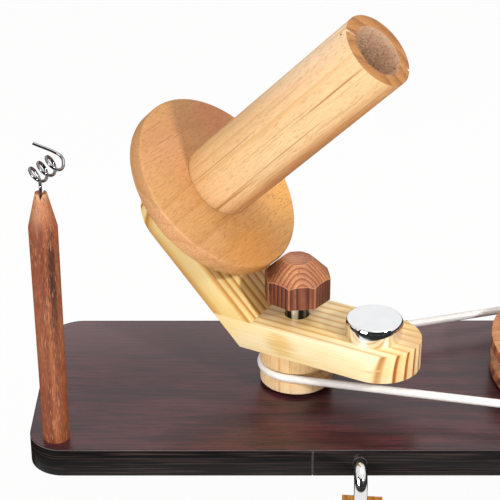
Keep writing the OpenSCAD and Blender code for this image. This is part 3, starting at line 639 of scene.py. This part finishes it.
# drilled and left bare: matt and rough, pinkish at the mouth, with painted shade
# darkening it further in
bore_wood = wood(
    "bored_beech", tube_place, (45, 20), 8,
    [(0.0, "#eac8a8"), (0.9, "#e2be9c"), (1.0, "#eac8a8")], wobble=2.5,
    fibre=0.7, fibre_depth=0.07, fibre_run=2, roughness=(0.75, 0.9), bump=0.1,
    marks=[(1.2, 0.3, 0.6, "#c69a7e")],
    # painted shade: darker further into the bore
    grain_spots=[((26, 0, 0), (50, 60), "#5a2c1f", 0.95)],
)

# turned with its grain upright: faint upright lines, paler towards the board
pulley_place = place_at(middle("small_pulley"), UP, arm_dir)
pulley_beech = wood(
    "oiled_beech_pulley", pulley_place, (30, 25), 7,
    [(0.0, "#f4d09a"), (0.7, "#f0ca90"), (0.93, "#e4b87a"), (1.0, "#f2ce96")],
    wobble=2.0, fibre_depth=0.06,
    marks=[(5.0, 0.5, 0.62, "#dbac72"), (20, 1.0, 0.68, "#e0b47c")],
    face_spots=[((-12, 0, 0), (8, 60), "#ffe6c0", 0.6)],
)

# an orange hardwood, oiled: even and bright, with few marks
jaw_place = place_at(middle("clamp_jaw"), (0, 1, 0), UP)
jaw_wood = wood(
    "oiled_hardwood_jaw", jaw_place, (35, 30), 5,
    [(0.0, "#ffbb5c"), (0.6, "#ffb252"), (0.92, "#e8963e"), (1.0, "#ffb858")],
    wobble=3.0, fibre_depth=0.08, marks=[(3.0, 0.4, 0.64, "#d9863a")],
)

# %% Rosewood finishes
ROSE_RINGS = [(0.0, "#ba7449"), (0.35, "#ad653f"), (0.58, "#84462c"),
              (0.7, "#643220"), (0.85, "#995a3a"), (1.0, "#ba7449")]
ROSE_PORES = (3.5, 0.45, 0.6, "#6f3b25")
ROSE_FLECKS = (3.0, 0.45, 0.66, "#c4835a")

# turned and waxed: dark heartwood streaks, and a pale patch at the tip
post_place = place_at(middle("guide_post"), UP, (0, -1, 0))
post_wood = wood(
    "turned_rosewood_post", post_place, (40, 30), 12,
    [(0.0, "#ab6e46"), (0.5, "#9c5e3a"), (0.85, "#834a2e"), (1.0, "#a86a44")],
    wobble=2.0, fibre=0.55, fibre_depth=0.34, fibre_run=8,
    marks=[(3.2, 0.4, 0.61, "#74402a"), (3.0, 0.35, 0.62, "#b07a52")],
    stretch=0.1, tone=("#e2c4b0", "#fff8ee"), tone_size=26,
    roughness=(0.45, 0.6), warp=(30, 1.5),
    grain_spots=[
        ((0, -4.6, 7), (95, 4.4), "#7a452c", 0.7),
        ((36, -4.4, 7), (52, 4), "#3c2018", 0.85),
        ((80, 2, 4), (18, 12), "#d2a27c", 0.6),
        ((87, 0, 1), (7, 6), "#ecd2b0", 0.9),
    ],
)

# cut with flat sides: arcs on the bevel round a pith near the front. The light
# corners are a painted highlight, the pale top is painted light from above, the dark
# left side is the disc's shadow painted on, and the dark right side is partly
# heartwood and partly painted shade
knob_place = place_at(middle("friction_knob"), UP, (0, -1, 0))
knob_wood = wood(
    "cut_rosewood_knob", knob_place, (-3, 26), 2.7,
    [(0.0, "#8e553a"), (0.1, "#965c40"), (0.5, "#804832"), (0.75, "#5c3022"),
     (0.9, "#4e271b"), (1.0, "#844e37")],
    wobble=1.0, fibre_depth=0.14, fibre_run=8, marks=[(3, 0.45, 0.64, "#6b3a28")],
    stretch=0.2, warp=(16, 1.0), tone=("#dcc2b4", "#fff6ee"), tone_size=12,
    roughness=(0.42, 0.56), cut=(0.1, 0.4),
    end_rings=[(0.0, "#bb855c"), (0.12, "#ca966a"), (0.5, "#be865a"),
               (0.7, "#a1663f"), (0.86, "#8f5334"), (1.0, "#b47c56")],
    face_spots=[
        # painted shadow: the disc's shadow on the upper left
        ((8, 17, 3), (16, 15), "#4c281c", 0.85),
        # painted light: a pale top, lit from above
        ((13.5, 0, 0), (3.5, 11), "#c69c88", 0.8),
    ],
    grain_spots=[
        # partly a heartwood streak, partly painted shade: a darker right side
        ((-8, -20, 10), (20, 13), "#3e2018", 0.7),
        # painted shadow: the disc's shadow on the left side
        ((-4, 20, 4), (20, 12), "#4a281c", 0.7),
    ],
    # painted highlight: lighter corners that stand out furthest
    corner_highlight=(20.56, 20.7, "#cf946e", 0.65),
)

# the rounded edge itself, painted light as a highlight along it
rosewood_edge_highlight = wood(
    "rosewood_edge_painted_highlight", knob_place, (0, -5), 2.6,
    [(0.0, "#e0ac84"), (1.0, "#c98e66")],
    fibre_depth=0.2, fibre_run=3, roughness=(0.38, 0.5),
)

# turned and waxed: bold dark and light figure, with a strip of pale sapwood
wheel_place = place_at(middle("drive_wheel"), (1, 0.2, 0), UP)
wheel_wood = wood(
    "turned_rosewood_wheel", wheel_place, (40, 30), 9, ROSE_RINGS, wobble=3.5,
    fibre_depth=0.2, marks=[ROSE_PORES, ROSE_FLECKS], roughness=(0.42, 0.56),
    grain_spots=[((-82, 14, 0), (46, 60), "#dfa86c", 0.6)],
)

# the same wood with its grain along the handle, smoother from the hand
grip_place = place_at(middle("crank_grip"), UP, (0, -1, 0))
grip_wood = wood(
    "turned_rosewood_grip", grip_place, (6, 24), 12, ROSE_RINGS, wobble=3.0,
    fibre_depth=0.2, marks=[ROSE_PORES, ROSE_FLECKS], stretch=0.06,
    roughness=(0.4, 0.55),
)

# %% [markdown]
# ## Laminate and its edge band
# The board's face is printed laminate: purple-brown streaks along the board under
# a satin film, which gives a low, even sheen. A painted sheen lightens it softly
# towards the back. The edge is a plastic band, nearly black, with a fine grain that
# runs level all round. Where the band was trimmed, its corner is a lighter grey:
# partly the scraped trim, partly a painted highlight. All three are long thin
# noises, one for broad streaks and one for hairlines. Real hairlines are about
# 0.2 mm wide and are drawn at 0.9 mm, so that they show.

# %% Laminate and edge band
HAIR_WIDTH = 0.9
HAIR_STRETCH = 0.012
STREAK_ROUGHNESS = 0.6


def streaks(name, tints, hairs, length, width, roughness, hair_share, bump, index,
            upright=False, painted_sheen=None):
    """Streaks along X: broad ones of length by width, and hairlines, in mm.

    On an upright band they run level all the way round. index is the IOR of the
    film on it. painted_sheen is (y, y, hex, share), between which the face is
    painted lighter, as a sheen."""
    made = empty_material(name)
    tree = made.node_tree
    place = add(tree, "ShaderNodeTexCoord").outputs["Object"]

    def band(stretch, size, detail):
        across = stretch if upright else 1
        drawn = add(tree, "ShaderNodeVectorMath", {0: place, 1: (stretch, across, 1)},
                    operation="MULTIPLY").outputs[0]
        return add(tree, "ShaderNodeTexNoise", {
            "Vector": drawn, "Scale": 1 / (size * MM), "Detail": detail,
            "Roughness": STREAK_ROUGHNESS,
        }).outputs["Fac"]

    broad_noise = band(width / length, width, 3.0)
    fine_noise = band(HAIR_STRETCH, HAIR_WIDTH, 2.0)
    broad = add(tree, "ShaderNodeValToRGB", {"Fac": broad_noise}, tints)
    fine = add(tree, "ShaderNodeValToRGB", {"Fac": fine_noise}, hairs)
    colour = add(tree, "ShaderNodeMix", {
        "Factor": hair_share, 6: broad.outputs["Color"], 7: fine.outputs["Color"],
    }, data_type="RGBA").outputs[2]
    # painted sheen: the face is lightened between two depths
    if painted_sheen:
        begin, complete, hue, most = painted_sheen
        y = add(tree, "ShaderNodeSeparateXYZ", {0: place}).outputs["Y"]
        sheen_share = add(tree, "ShaderNodeMapRange", {
            "Value": y, "From Min": begin * MM, "From Max": complete * MM,
            "To Max": most,
        }, interpolation_type="SMOOTHSTEP").outputs["Result"]
        colour = add(tree, "ShaderNodeMix", {
            "Factor": sheen_share, 6: colour, 7: linear(hue),
        }, data_type="RGBA").outputs[2]
    dull = add(tree, "ShaderNodeMapRange", {
        "Value": fine_noise, "To Min": roughness[0], "To Max": roughness[1],
    }).outputs["Result"]
    finish_material(name, tree, {
        "Base Color": colour, "Roughness": dull, "IOR": index,
    }, fine_noise, bump * MM)
    return made


# painted sheen: the last argument lightens the board towards the back
laminate = streaks(
    "satin_printed_laminate",
    [(0.34, "#28151a"), (0.46, "#371b21"), (0.58, "#582a31"), (0.68, "#2c181c")],
    [(0.36, "#1c0d10"), (0.5, "#381a1e"), (0.64, "#5e3033")],
    46, 7, (0.24, 0.33), 0.42, 0.01, 1.48, painted_sheen=(-5, 90, "#6f5459", 0.85),
)
edge_plastic = streaks(
    "satin_edge_band",
    [(0.35, "#0a0707"), (0.55, "#110c0d"), (0.7, "#1c1516")],
    [(0.35, "#040303"), (0.52, "#0d0909"), (0.64, "#40342f")],
    60, 3, (0.35, 0.5), 0.7, 0.03, 1.3, upright=True,
)
# the corners' lighter grey: partly the scraped trim, partly a painted highlight
scraped_highlit_plastic = streaks(
    "scraped_edge_band_highlight",
    [(0.35, "#4a3f3e"), (0.55, "#6e615f"), (0.7, "#8a7c78")],
    [(0.35, "#544846"), (0.55, "#74676a"), (0.72, "#8e8280")],
    30, 3, (0.4, 0.5), 0.5, 0.01, 1.4, upright=True,
)

# %% [markdown]
# ## Metals
# A metal has almost no colour of its own. What it shows is the wood, the dark
# board and the white room, so its finish is told by its roughness. Chrome is a
# mirror, nickel plate a softer one, and zinc plate is grey and dull. Roughness
# varies a little over patches, as on metal that has been handled. The collar is
# turned steel, and its bright and dark bands along its axis are a painted
# reflection: the knob hides it from the lamps that would draw them, so the colour
# follows the way a face looks. The bright wire is painted dark grey, a painted
# reflection of the dark room round it.

# %% Metals
METAL_PATCH = 8.0
METAL_RANGE = (0.35, 0.7)


def metal(name, shades, roughness, spread, bump, painted_band_facing=None):
    """A metal whose colour and roughness vary over patches.

    roughness grows by spread. bump is in mm. With a direction for
    painted_band_facing, the shades follow how far a face looks that way instead:
    a painted reflection."""
    made = empty_material(name)
    tree = made.node_tree
    coords = add(tree, "ShaderNodeTexCoord").outputs
    patches = add(tree, "ShaderNodeTexNoise", {
        "Vector": coords["Object"], "Scale": 1 / (METAL_PATCH * MM), "Detail": 4.0,
    }).outputs["Fac"]
    dull = add(tree, "ShaderNodeMapRange", {
        "Value": patches, "From Min": METAL_RANGE[0], "From Max": METAL_RANGE[1],
        "To Min": roughness, "To Max": roughness + spread,
    }).outputs["Result"]
    place = patches
    # painted reflection: the colour follows the face's direction, not the patches
    if painted_band_facing:
        place = add(tree, "ShaderNodeVectorMath", {
            0: coords["Normal"], 1: Vector(painted_band_facing).normalized(),
        }, operation="DOT_PRODUCT").outputs["Value"]
    shade = add(tree, "ShaderNodeValToRGB", {"Fac": place}, shades).outputs["Color"]
    finish_material(name, tree, {
        "Base Color": shade, "Metallic": 1.0, "Roughness": dull,
    }, patches, bump * MM)
    return made


chrome = metal(
    "mirror_chrome", [(0.3, "#ebecee"), (0.7, "#f0f1f2")], 0.03, 0.03, 0.0002)
# painted reflection: bright and dark bands by the way each face looks, with a bluish white
# stripe where a face looks to the front left
steel_painted_bands = metal(
    "turned_steel_painted_bands",
    [(0.4, "#1c1d20"), (0.6, "#7b8088"), (0.78, "#26272a"), (0.94, "#2c2e32"),
     (0.985, "#dfe9fb")],
    0.3, 0.06, 0.004, painted_band_facing=(-0.22, -0.98, 0))
zinc_steel = metal(
    "zinc_plated_steel", [(0.3, "#a9adb0"), (0.7, "#bcc0c2")], 0.28, 0.15, 0.01)
plated_rod = metal(
    "nickel_plated_rod", [(0.3, "#e2e1e1"), (0.7, "#eceaea")], 0.08, 0.1, 0.004)
ground_steel = metal(
    "ground_bearing_steel", [(0.3, "#94989c"), (0.7, "#a6aaad")], 0.18, 0.1, 0.004)
# painted reflection: the bright wire is painted dark grey for the dark room it reflects
wire_painted_dark = metal(
    "drawn_wire_painted_dark", [(0.3, "#7c787a"), (0.7, "#949193")], 0.05, 0.05, 0.003)
insert_brass = metal(
    "plain_brass", [(0.3, "#b08f46"), (0.7, "#c2a257")], 0.22, 0.1, 0.005)

# %% [markdown]
# ## The belt's plastic
# The belt is milky polyurethane, extruded as a round cord. It lets a little light
# in, so its shaded side stays soft and pale, and use has scuffed it in places.

# %% Belt plastic
BELT_CLOUD = 6
BELT_IOR = 1.5
BELT_ROUGHNESS = (0.28, 0.45)
BELT_BUMP = 0.005
BELT_GLOW = 0.25
BELT_GLOW_DEPTH = 1.5

belt_plastic = empty_material("milky_polyurethane_belt")
tree = belt_plastic.node_tree
spot = add(tree, "ShaderNodeTexCoord").outputs["Object"]
cloud = add(tree, "ShaderNodeTexNoise", {
    "Vector": spot, "Scale": 1 / (BELT_CLOUD * MM), "Detail": 3.0,
}).outputs["Fac"]
milk = add(tree, "ShaderNodeValToRGB", {"Fac": cloud},
           [(0.3, "#e9e9e5"), (0.7, "#f1f1ee")]).outputs["Color"]
scuff = add(tree, "ShaderNodeMapRange", {
    "Value": cloud, "To Min": BELT_ROUGHNESS[0], "To Max": BELT_ROUGHNESS[1],
}).outputs["Result"]
finish_material("milky_polyurethane_belt", tree, {
    "Base Color": milk, "Roughness": scuff, "IOR": BELT_IOR,
    "Subsurface Weight": BELT_GLOW, "Subsurface Radius": (1.0, 0.9, 0.8),
    "Subsurface Scale": BELT_GLOW_DEPTH * MM,
}, cloud, BELT_BUMP * MM)

# %% [markdown]
# ## Eased edges
# Nothing in wood or metal has a perfectly sharp edge, and the thin highlight on
# an eased edge is what makes it read as real. The imported mesh gives each piece's
# exact form, so a copy of it is merged into one closed mesh, its flat faces are
# joined, and a Bevel modifier rounds every edge sharper than 30 degrees. A second
# paint can go on the rounded edges alone: wear on the tube, a painted highlight on
# the knob, and the scraped trim with a painted highlight on the band.

# %% The easing helper
FLAT_ANGLE = math.radians(0.4)
EDGE_ANGLE = math.radians(30)
CREASE_ANGLE = math.radians(42)
MERGE = 0.002 * MM


def eased_copy(node, name, width, paint, segments=3, edge_paint=None):
    """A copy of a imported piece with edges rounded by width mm, in its place."""
    shape = bmesh.new()
    shape.from_mesh(frame["nodes"][node].data)
    bmesh.ops.remove_doubles(shape, verts=shape.verts, dist=MERGE)
    bmesh.ops.dissolve_limit(shape, angle_limit=FLAT_ANGLE, verts=shape.verts,
                             edges=shape.edges, delimit={"NORMAL"})
    mesh = bpy.data.meshes.new(name)
    shape.to_mesh(mesh)
    shape.free()
    made = bpy.data.objects.new(name, mesh)
    bpy.context.scene.collection.objects.link(made)
    rounding = made.modifiers.new("eased", "BEVEL")
    rounding.width = width * MM
    rounding.segments = segments
    rounding.limit_method = "ANGLE"
    rounding.angle_limit = EDGE_ANGLE
    rounding.use_clamp_overlap = True
    if edge_paint:
        rounding.material = 1
        mesh.materials.clear()
        mesh.materials.append(paint)
        mesh.materials.append(edge_paint)
    return settle(made, node, None if edge_paint else paint)


def settle(made, node, paint):
    """Applies a piece's modifiers, paints it and lets it stand for its node.

    Without paint it keeps the materials that it has."""
    ready = bpy.context.evaluated_depsgraph_get()
    mesh = bpy.data.meshes.new_from_object(made.evaluated_get(ready))
    mesh.name = made.name
    made.modifiers.clear()
    made.data = mesh
    if paint:
        mesh.materials.clear()
        mesh.materials.append(paint)
    mesh.polygons.foreach_set("use_smooth", [True] * len(mesh.polygons))
    mesh.set_sharp_from_angle(angle=CREASE_ANGLE)
    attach(made, frame["nodes"][node]["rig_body"])
    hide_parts(node)
    print(made.name, "faces:", len(mesh.polygons))
    return made


# %% [markdown]
# ## Wooden pieces
# Each wooden piece is rounded by as much as its maker sanded it: a lot on the
# wheel and the grip, which are held, and little on the knob, whose crisp bevel
# drives the disc. The tube shows wear along its edges, and the knob's edges carry a
# painted highlight.

# %% Wooden pieces
# node, name, rounding in mm, finish, slot
WOODEN = [
    ("arm_board", "arm", 0.6, arm_pine, "pine"),
    ("spindle_board", "slope", 0.6, slope_pine, "pine"),
    ("spindle_disc", "disc", 1.6, disc_beech, "beech"),
    ("spindle_boss", "boss", 0.6, tube_beech, "beech"),
    ("small_pulley", "pulley", 0.6, pulley_beech, "beech"),
    ("guide_post", "post", 0.4, post_wood, "rosewood"),
    ("drive_wheel", "wheel", 1.2, wheel_wood, "rosewood"),
    ("crank_grip", "grip", 1.5, grip_wood, "rosewood"),
    ("clamp_jaw", "jaw_block", 1.0, jaw_wood, "jaw_wood"),
]
for node, name, width, paint, slot in WOODEN:
    eased_copy(node, name, width, paint)
# the knob's edges carry a painted highlight
eased_copy("friction_knob", "knob", 0.5, knob_wood,
           edge_paint=rosewood_edge_highlight)
tube = eased_copy("spindle_tube", "tube", 0.4, tube_beech,
                  edge_paint=tube_edge).data

# %% [markdown]
# The tube's bore is drilled, not turned: its wall is rough and matt, and painted
# shade darkens it further in. A third material goes on the faces that look towards
# the axis, so the bore needs no piece of its own.

# %% The rough bore
BORE_REACH = 17 * MM
BORE_TILT = 0.5
BORE_INDEX = 2

tube.materials.append(bore_wood)
bored = 0
for face in tube.polygons:
    along = spindle_axis * (face.center - spindle_spot).dot(spindle_axis)
    outwards = face.center - spindle_spot - along
    level_wall = abs(face.normal.dot(spindle_axis)) < BORE_TILT
    if outwards.length < BORE_REACH and level_wall:
        face.material_index = BORE_INDEX
        bored += 1
print("bore faces:", bored)

# %% [markdown]
# ## The edge band
# The band is glued round the board and trimmed flush with a scraper, which leaves
# a thin grey line along its corners. So its rounded edges take the scraped paint,
# which is also lighter as a painted highlight.

# %% Edge band
eased_copy("edge_band", "band", 0.35, edge_plastic, segments=2,
           edge_paint=scraped_highlit_plastic)

# %% [markdown]
# ## The chrome counterweight
# The counterweight is a cast knob: a flat top, a tight rim, a soft shoulder and a
# side that draws in a little towards the arm. The rim is what makes chrome read as
# chrome, because it gathers the whole room into thin lines. It is turned from a
# profile of (radius, height), spun round the screw's axis.

# %% Counterweight
LATHE_STEPS = 96
RIM_R = 0.7 * MM
RIM_STEPS = 16
SHOULDER_R = 4.5 * MM
SHOULDER_TURN = 36
SHOULDER_STEPS = 24
SIDE_DRAW = 0.15 * MM
SIDE_STEPS = 16


def arc(centre, radius, start, end, steps):
    """Profile points on an arc, between two angles in degrees."""
    turns = [math.radians(start + (end - start) * k / steps) for k in range(steps + 1)]
    return [(centre[0] + radius * math.cos(t), centre[1] + radius * math.sin(t))
            for t in turns]


def lathe(name, profile, place):
    """A closed solid: a profile from axis to axis, turned round the place's Z."""
    shape = bmesh.new()
    line = [shape.verts.new((r, 0, z)) for r, z in profile]
    for a, b in zip(line, line[1:]):
        shape.edges.new((a, b))
    bmesh.ops.spin(shape, geom=shape.verts[:] + shape.edges[:], cent=(0, 0, 0),
                   axis=(0, 0, 1), angle=2 * math.pi, steps=LATHE_STEPS)
    bmesh.ops.remove_doubles(shape, verts=shape.verts, dist=MERGE)
    bmesh.ops.recalc_face_normals(shape, faces=shape.faces)
    shape.transform(place)
    mesh = bpy.data.meshes.new(name)
    shape.to_mesh(mesh)
    shape.free()
    made = bpy.data.objects.new(name, mesh)
    bpy.context.scene.collection.objects.link(made)
    return made


low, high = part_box("counterweight")
weight_r = (high.x - low.x) / 2
weight_h = high.z - low.z
slant = math.radians(SHOULDER_TURN)
rim_centre = (
    weight_r - SHOULDER_R + (SHOULDER_R - RIM_R) * math.cos(slant), weight_h - RIM_R,
)
side_top = rim_centre[1] - (SHOULDER_R - RIM_R) * math.sin(slant)
side_bow = (side_top ** 2 + SIDE_DRAW ** 2) / (2 * SIDE_DRAW)
side_turn = math.degrees(math.asin(side_top / side_bow))
weight_profile = [
    (0, 0),
    *arc((weight_r - side_bow, side_top), side_bow, -side_turn, 0, SIDE_STEPS),
    *arc((weight_r - SHOULDER_R, side_top), SHOULDER_R, 0, SHOULDER_TURN,
         SHOULDER_STEPS)[1:],
    *arc(rim_centre, RIM_R, SHOULDER_TURN, 90, RIM_STEPS)[1:],
    (0, weight_h),
]
weight_foot = Vector(((low.x + high.x) / 2, (low.y + high.y) / 2, low.z))
weight = lathe("weight", weight_profile, Matrix.Translation(weight_foot))
settle(weight, "counterweight", chrome)
print("weight across, mm:", round(2 * weight_r / MM, 2))

# %% [markdown]
# ## The other visible metal
# The collar, the clamp's rod, its wing nut and its washer show from outside, so
# their edges are eased too: little on the turned collar, more on the cast nut.

# %% Metal pieces
METALS = [
    ("main_collar", "collar", 0.25, steel_painted_bands, "polished_steel"),
    ("clamp_rod", "hook", 0.5, plated_rod, "chrome"),
    ("wing_nut", "wing", 0.6, chrome, "chrome"),
    ("clamp_washer", "jaw_washer", 0.25, chrome, "chrome"),
]
for node, name, width, paint, slot in METALS:
    eased_copy(node, name, width, paint)

# %% [markdown]
# ## The bent wire guide
# The guide is one bright wire: a short stem up from the post, a coil of almost
# three turns leaning back, and a straight tail. A coil follows a rule, so its
# points come from a formula, and Geometry Nodes sweep a round section along them.

# %% Sweep tree


def sweep_tree(name, sides, closed, paint):
    """A tree that turns a line of points into a tube, and its Radius socket."""
    tree = bpy.data.node_groups.new(name, "GeometryNodeTree")
    tree.interface.new_socket("Line", in_out="INPUT", socket_type="NodeSocketGeometry")
    size = tree.interface.new_socket("Radius", in_out="INPUT",
                                     socket_type="NodeSocketFloat")
    tree.interface.new_socket("Tube", in_out="OUTPUT", socket_type="NodeSocketGeometry")
    given = add(tree, "NodeGroupInput")
    path = add(tree, "GeometryNodeMeshToCurve", {"Mesh": given.outputs["Line"]})
    ring = add(tree, "GeometryNodeCurvePrimitiveCircle", {
        "Resolution": sides, "Radius": given.outputs["Radius"],
    })
    tube = add(tree, "GeometryNodeCurveToMesh", {
        "Curve": path.outputs[0], "Profile Curve": ring.outputs[0],
        "Fill Caps": not closed,
    })
    smooth = add(tree, "GeometryNodeSetShadeSmooth", {"Geometry": tube.outputs[0]})
    real = add(tree, "GeometryNodeRealizeInstances", {"Geometry": smooth.outputs[0]})
    painted = add(tree, "GeometryNodeSetMaterial", {
        "Geometry": real.outputs[0], "Material": paint,
    })
    add(tree, "NodeGroupOutput", {"Tube": painted.outputs[0]})
    return tree, size.identifier


def swept(name, points, radius, sides, closed, node, paint):
    """A tube along points, in metres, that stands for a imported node."""
    count = len(points)
    edges = [(i, i + 1) for i in range(count - 1)] + [(count - 1, 0)] * closed
    mesh = bpy.data.meshes.new(name)
    mesh.from_pydata(points, edges, [])
    made = bpy.data.objects.new(name, mesh)
    bpy.context.scene.collection.objects.link(made)
    tree, radius_input = sweep_tree(name + "_sweep", sides, closed, paint)
    sweep = made.modifiers.new("sweep", "NODES")
    sweep.node_group = tree
    sweep[radius_input] = radius
    return settle(made, node, paint)


# %% Wire guide
WIRE_D = 1.8
WIRE_STEP = 6
COIL_R = 5.0
COIL_PITCH = 6.33
COIL_SWEEP = 1020
COIL_PHASE = 107.3
COIL_START = Vector((-3.17, 5.27, 10.52))
COIL_AZ = math.radians(-11.5)
COIL_LEAN = math.radians(52)
BEND_STEPS = 8
WIRE_SIDES = 16
# points of the wire before and after the coil, in mm from the post's tip
STEM = [(0, 0, -9), (0, 0, -4), (0, 0, 1), (0, 0, 3), (-0.3, 1.5, 5.2),
        (-1.2, 3.5, 7.8)]
TAIL = [(13, 2.6, 19), (11.4, 4.4, 20.4), (9, 5.4, 21.6), (6, 5.8, 23),
        (1, 5.8, 25.2), (-3.5, 5.8, 27.2)]


def coil_point(turned):
    """The wire's place after turning by that many degrees round the coil."""
    phase = math.radians(COIL_PHASE)
    now = math.radians(COIL_PHASE + turned)
    x = COIL_R * (math.cos(now) - math.cos(phase))
    y = COIL_R * (math.sin(now) - math.sin(phase))
    z = COIL_PITCH * turned / 360
    leaned = x * math.cos(COIL_LEAN) + z * math.sin(COIL_LEAN)
    return COIL_START + Vector((
        leaned * math.cos(COIL_AZ) - y * math.sin(COIL_AZ),
        leaned * math.sin(COIL_AZ) + y * math.cos(COIL_AZ),
        z * math.cos(COIL_LEAN) - x * math.sin(COIL_LEAN),
    ))


def smoothed(points):
    """A Catmull-Rom line through points, with steps between each two."""
    ends = [points[0] * 2 - points[1], *points, points[-1] * 2 - points[-2]]
    line = []
    for a, b, c, d in zip(ends, ends[1:], ends[2:], ends[3:]):
        for k in range(BEND_STEPS):
            t = k / BEND_STEPS
            line.append(0.5 * (
                b * 2 + (c - a) * t + (a * 2 - b * 5 + c * 4 - d) * t ** 2
                + (b * 3 - a - c * 3 + d) * t ** 3
            ))
    return line + [points[-1]]


post_low, post_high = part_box("guide_post")
post_tip = Vector(((post_low.x + post_high.x) / 2, (post_low.y + post_high.y) / 2,
                   post_high.z))
coil = [coil_point(a) for a in range(0, COIL_SWEEP + 1, WIRE_STEP)]
stem = smoothed([Vector(p) for p in STEM] + [coil[0]])
tail = smoothed([coil[-1]] + [Vector(p) for p in TAIL])
wire_line = [post_tip + p * MM for p in stem + coil[1:-1] + tail]
swept("wire_guide", wire_line, WIRE_D / 2 * MM, WIRE_SIDES, False, "yarn_guide",
      wire_painted_dark)

# %% [markdown]
# ## The belt
# A round belt runs in straight lines between two wheels and in arcs round them.
# Its path is worked out from the two axes and the belt's own box: the box shows
# how far it reaches round the wheel and the pulley.

# %% Belt path
BELT_D = 5.0
BELT_ARC_STEPS = 96
BELT_SIDES = 24
main_spot = Vector(joints["arm_spin"]["pos_m"])
wheel_spot = Vector(joints["wheel_spin"]["pos_m"])
belt_low, belt_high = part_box("drive_belt")
belt_z = (belt_low.z + belt_high.z) / 2
small_r = main_spot.x - belt_low.x - BELT_D / 2 * MM
large_r = belt_high.x - wheel_spot.x - BELT_D / 2 * MM
between = Vector((wheel_spot.x - main_spot.x, wheel_spot.y - main_spot.y))
lean = math.asin((large_r - small_r) / between.length)
heading = math.atan2(between.y, between.x)
touch = math.pi / 2 + lean


def belt_point(centre, radius, angle):
    """A point of the belt's middle line round an axis."""
    return Vector((
        centre.x + radius * math.cos(heading + angle),
        centre.y + radius * math.sin(heading + angle), belt_z,
    ))


inner_turn = 2 * math.pi - 2 * touch
belt_line = [
    belt_point(main_spot, small_r, touch + inner_turn * k / BELT_ARC_STEPS)
    for k in range(BELT_ARC_STEPS + 1)
] + [
    belt_point(wheel_spot, large_r, touch * (2 * k / BELT_ARC_STEPS - 1))
    for k in range(BELT_ARC_STEPS + 1)
]
swept("belt", belt_line, BELT_D / 2 * MM, BELT_SIDES, True, "drive_belt",
      belt_plastic)
belt_length = sum((b - a).length for a, b in zip(belt_line, belt_line[1:]))
belt_length += (belt_line[0] - belt_line[-1]).length
print("belt length, mm:", round(belt_length / MM, 1))

# %% [markdown]
# ## Pieces that keep their packed form
# The board is a plain panel, and its laminate reaches its sides without an eased
# edge, because the band covers them. Bolts, nuts, washers, sleeves, dowels and
# bearing rings are plain machined forms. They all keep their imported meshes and
# only take a finish.

# %% Finishes of the remaining pieces
KEPT = [
    (laminate, "base_board"),
    (tube_beech, "joint_dowels"),
    (insert_brass, "knob_insert"),
    (zinc_steel, "main_bolt main_bolt_washer main_base_spacer main_sleeve"),
    (zinc_steel, "wheel_bolt wheel_bolt_washer wheel_base_spacer wheel_sleeve"),
    (zinc_steel, "wheel_top_washer wheel_lock_nut pulley_screws weight_screw"),
    (zinc_steel, "spindle_bolt spindle_bolt_washer spindle_base_spacer"),
    (zinc_steel, "spindle_sleeve spindle_nut_washer spindle_nut"),
    (zinc_steel, "crank_pin crank_pin_nut crank_washer"),
    (ground_steel, "arm_bearing_inner_rings arm_bearing_outer_rings"),
    (ground_steel, "wheel_bearing_inner_rings wheel_bearing_outer_rings"),
    (ground_steel, "spindle_bearing_inner_rings spindle_bearing_outer_rings"),
]
finished = 0
for paint, nodes in KEPT:
    for node in nodes.split():
        mesh = frame["nodes"][node].data
        mesh.materials.clear()
        mesh.materials.append(paint)
        finished += 1
print("pieces that keep their form:", finished)
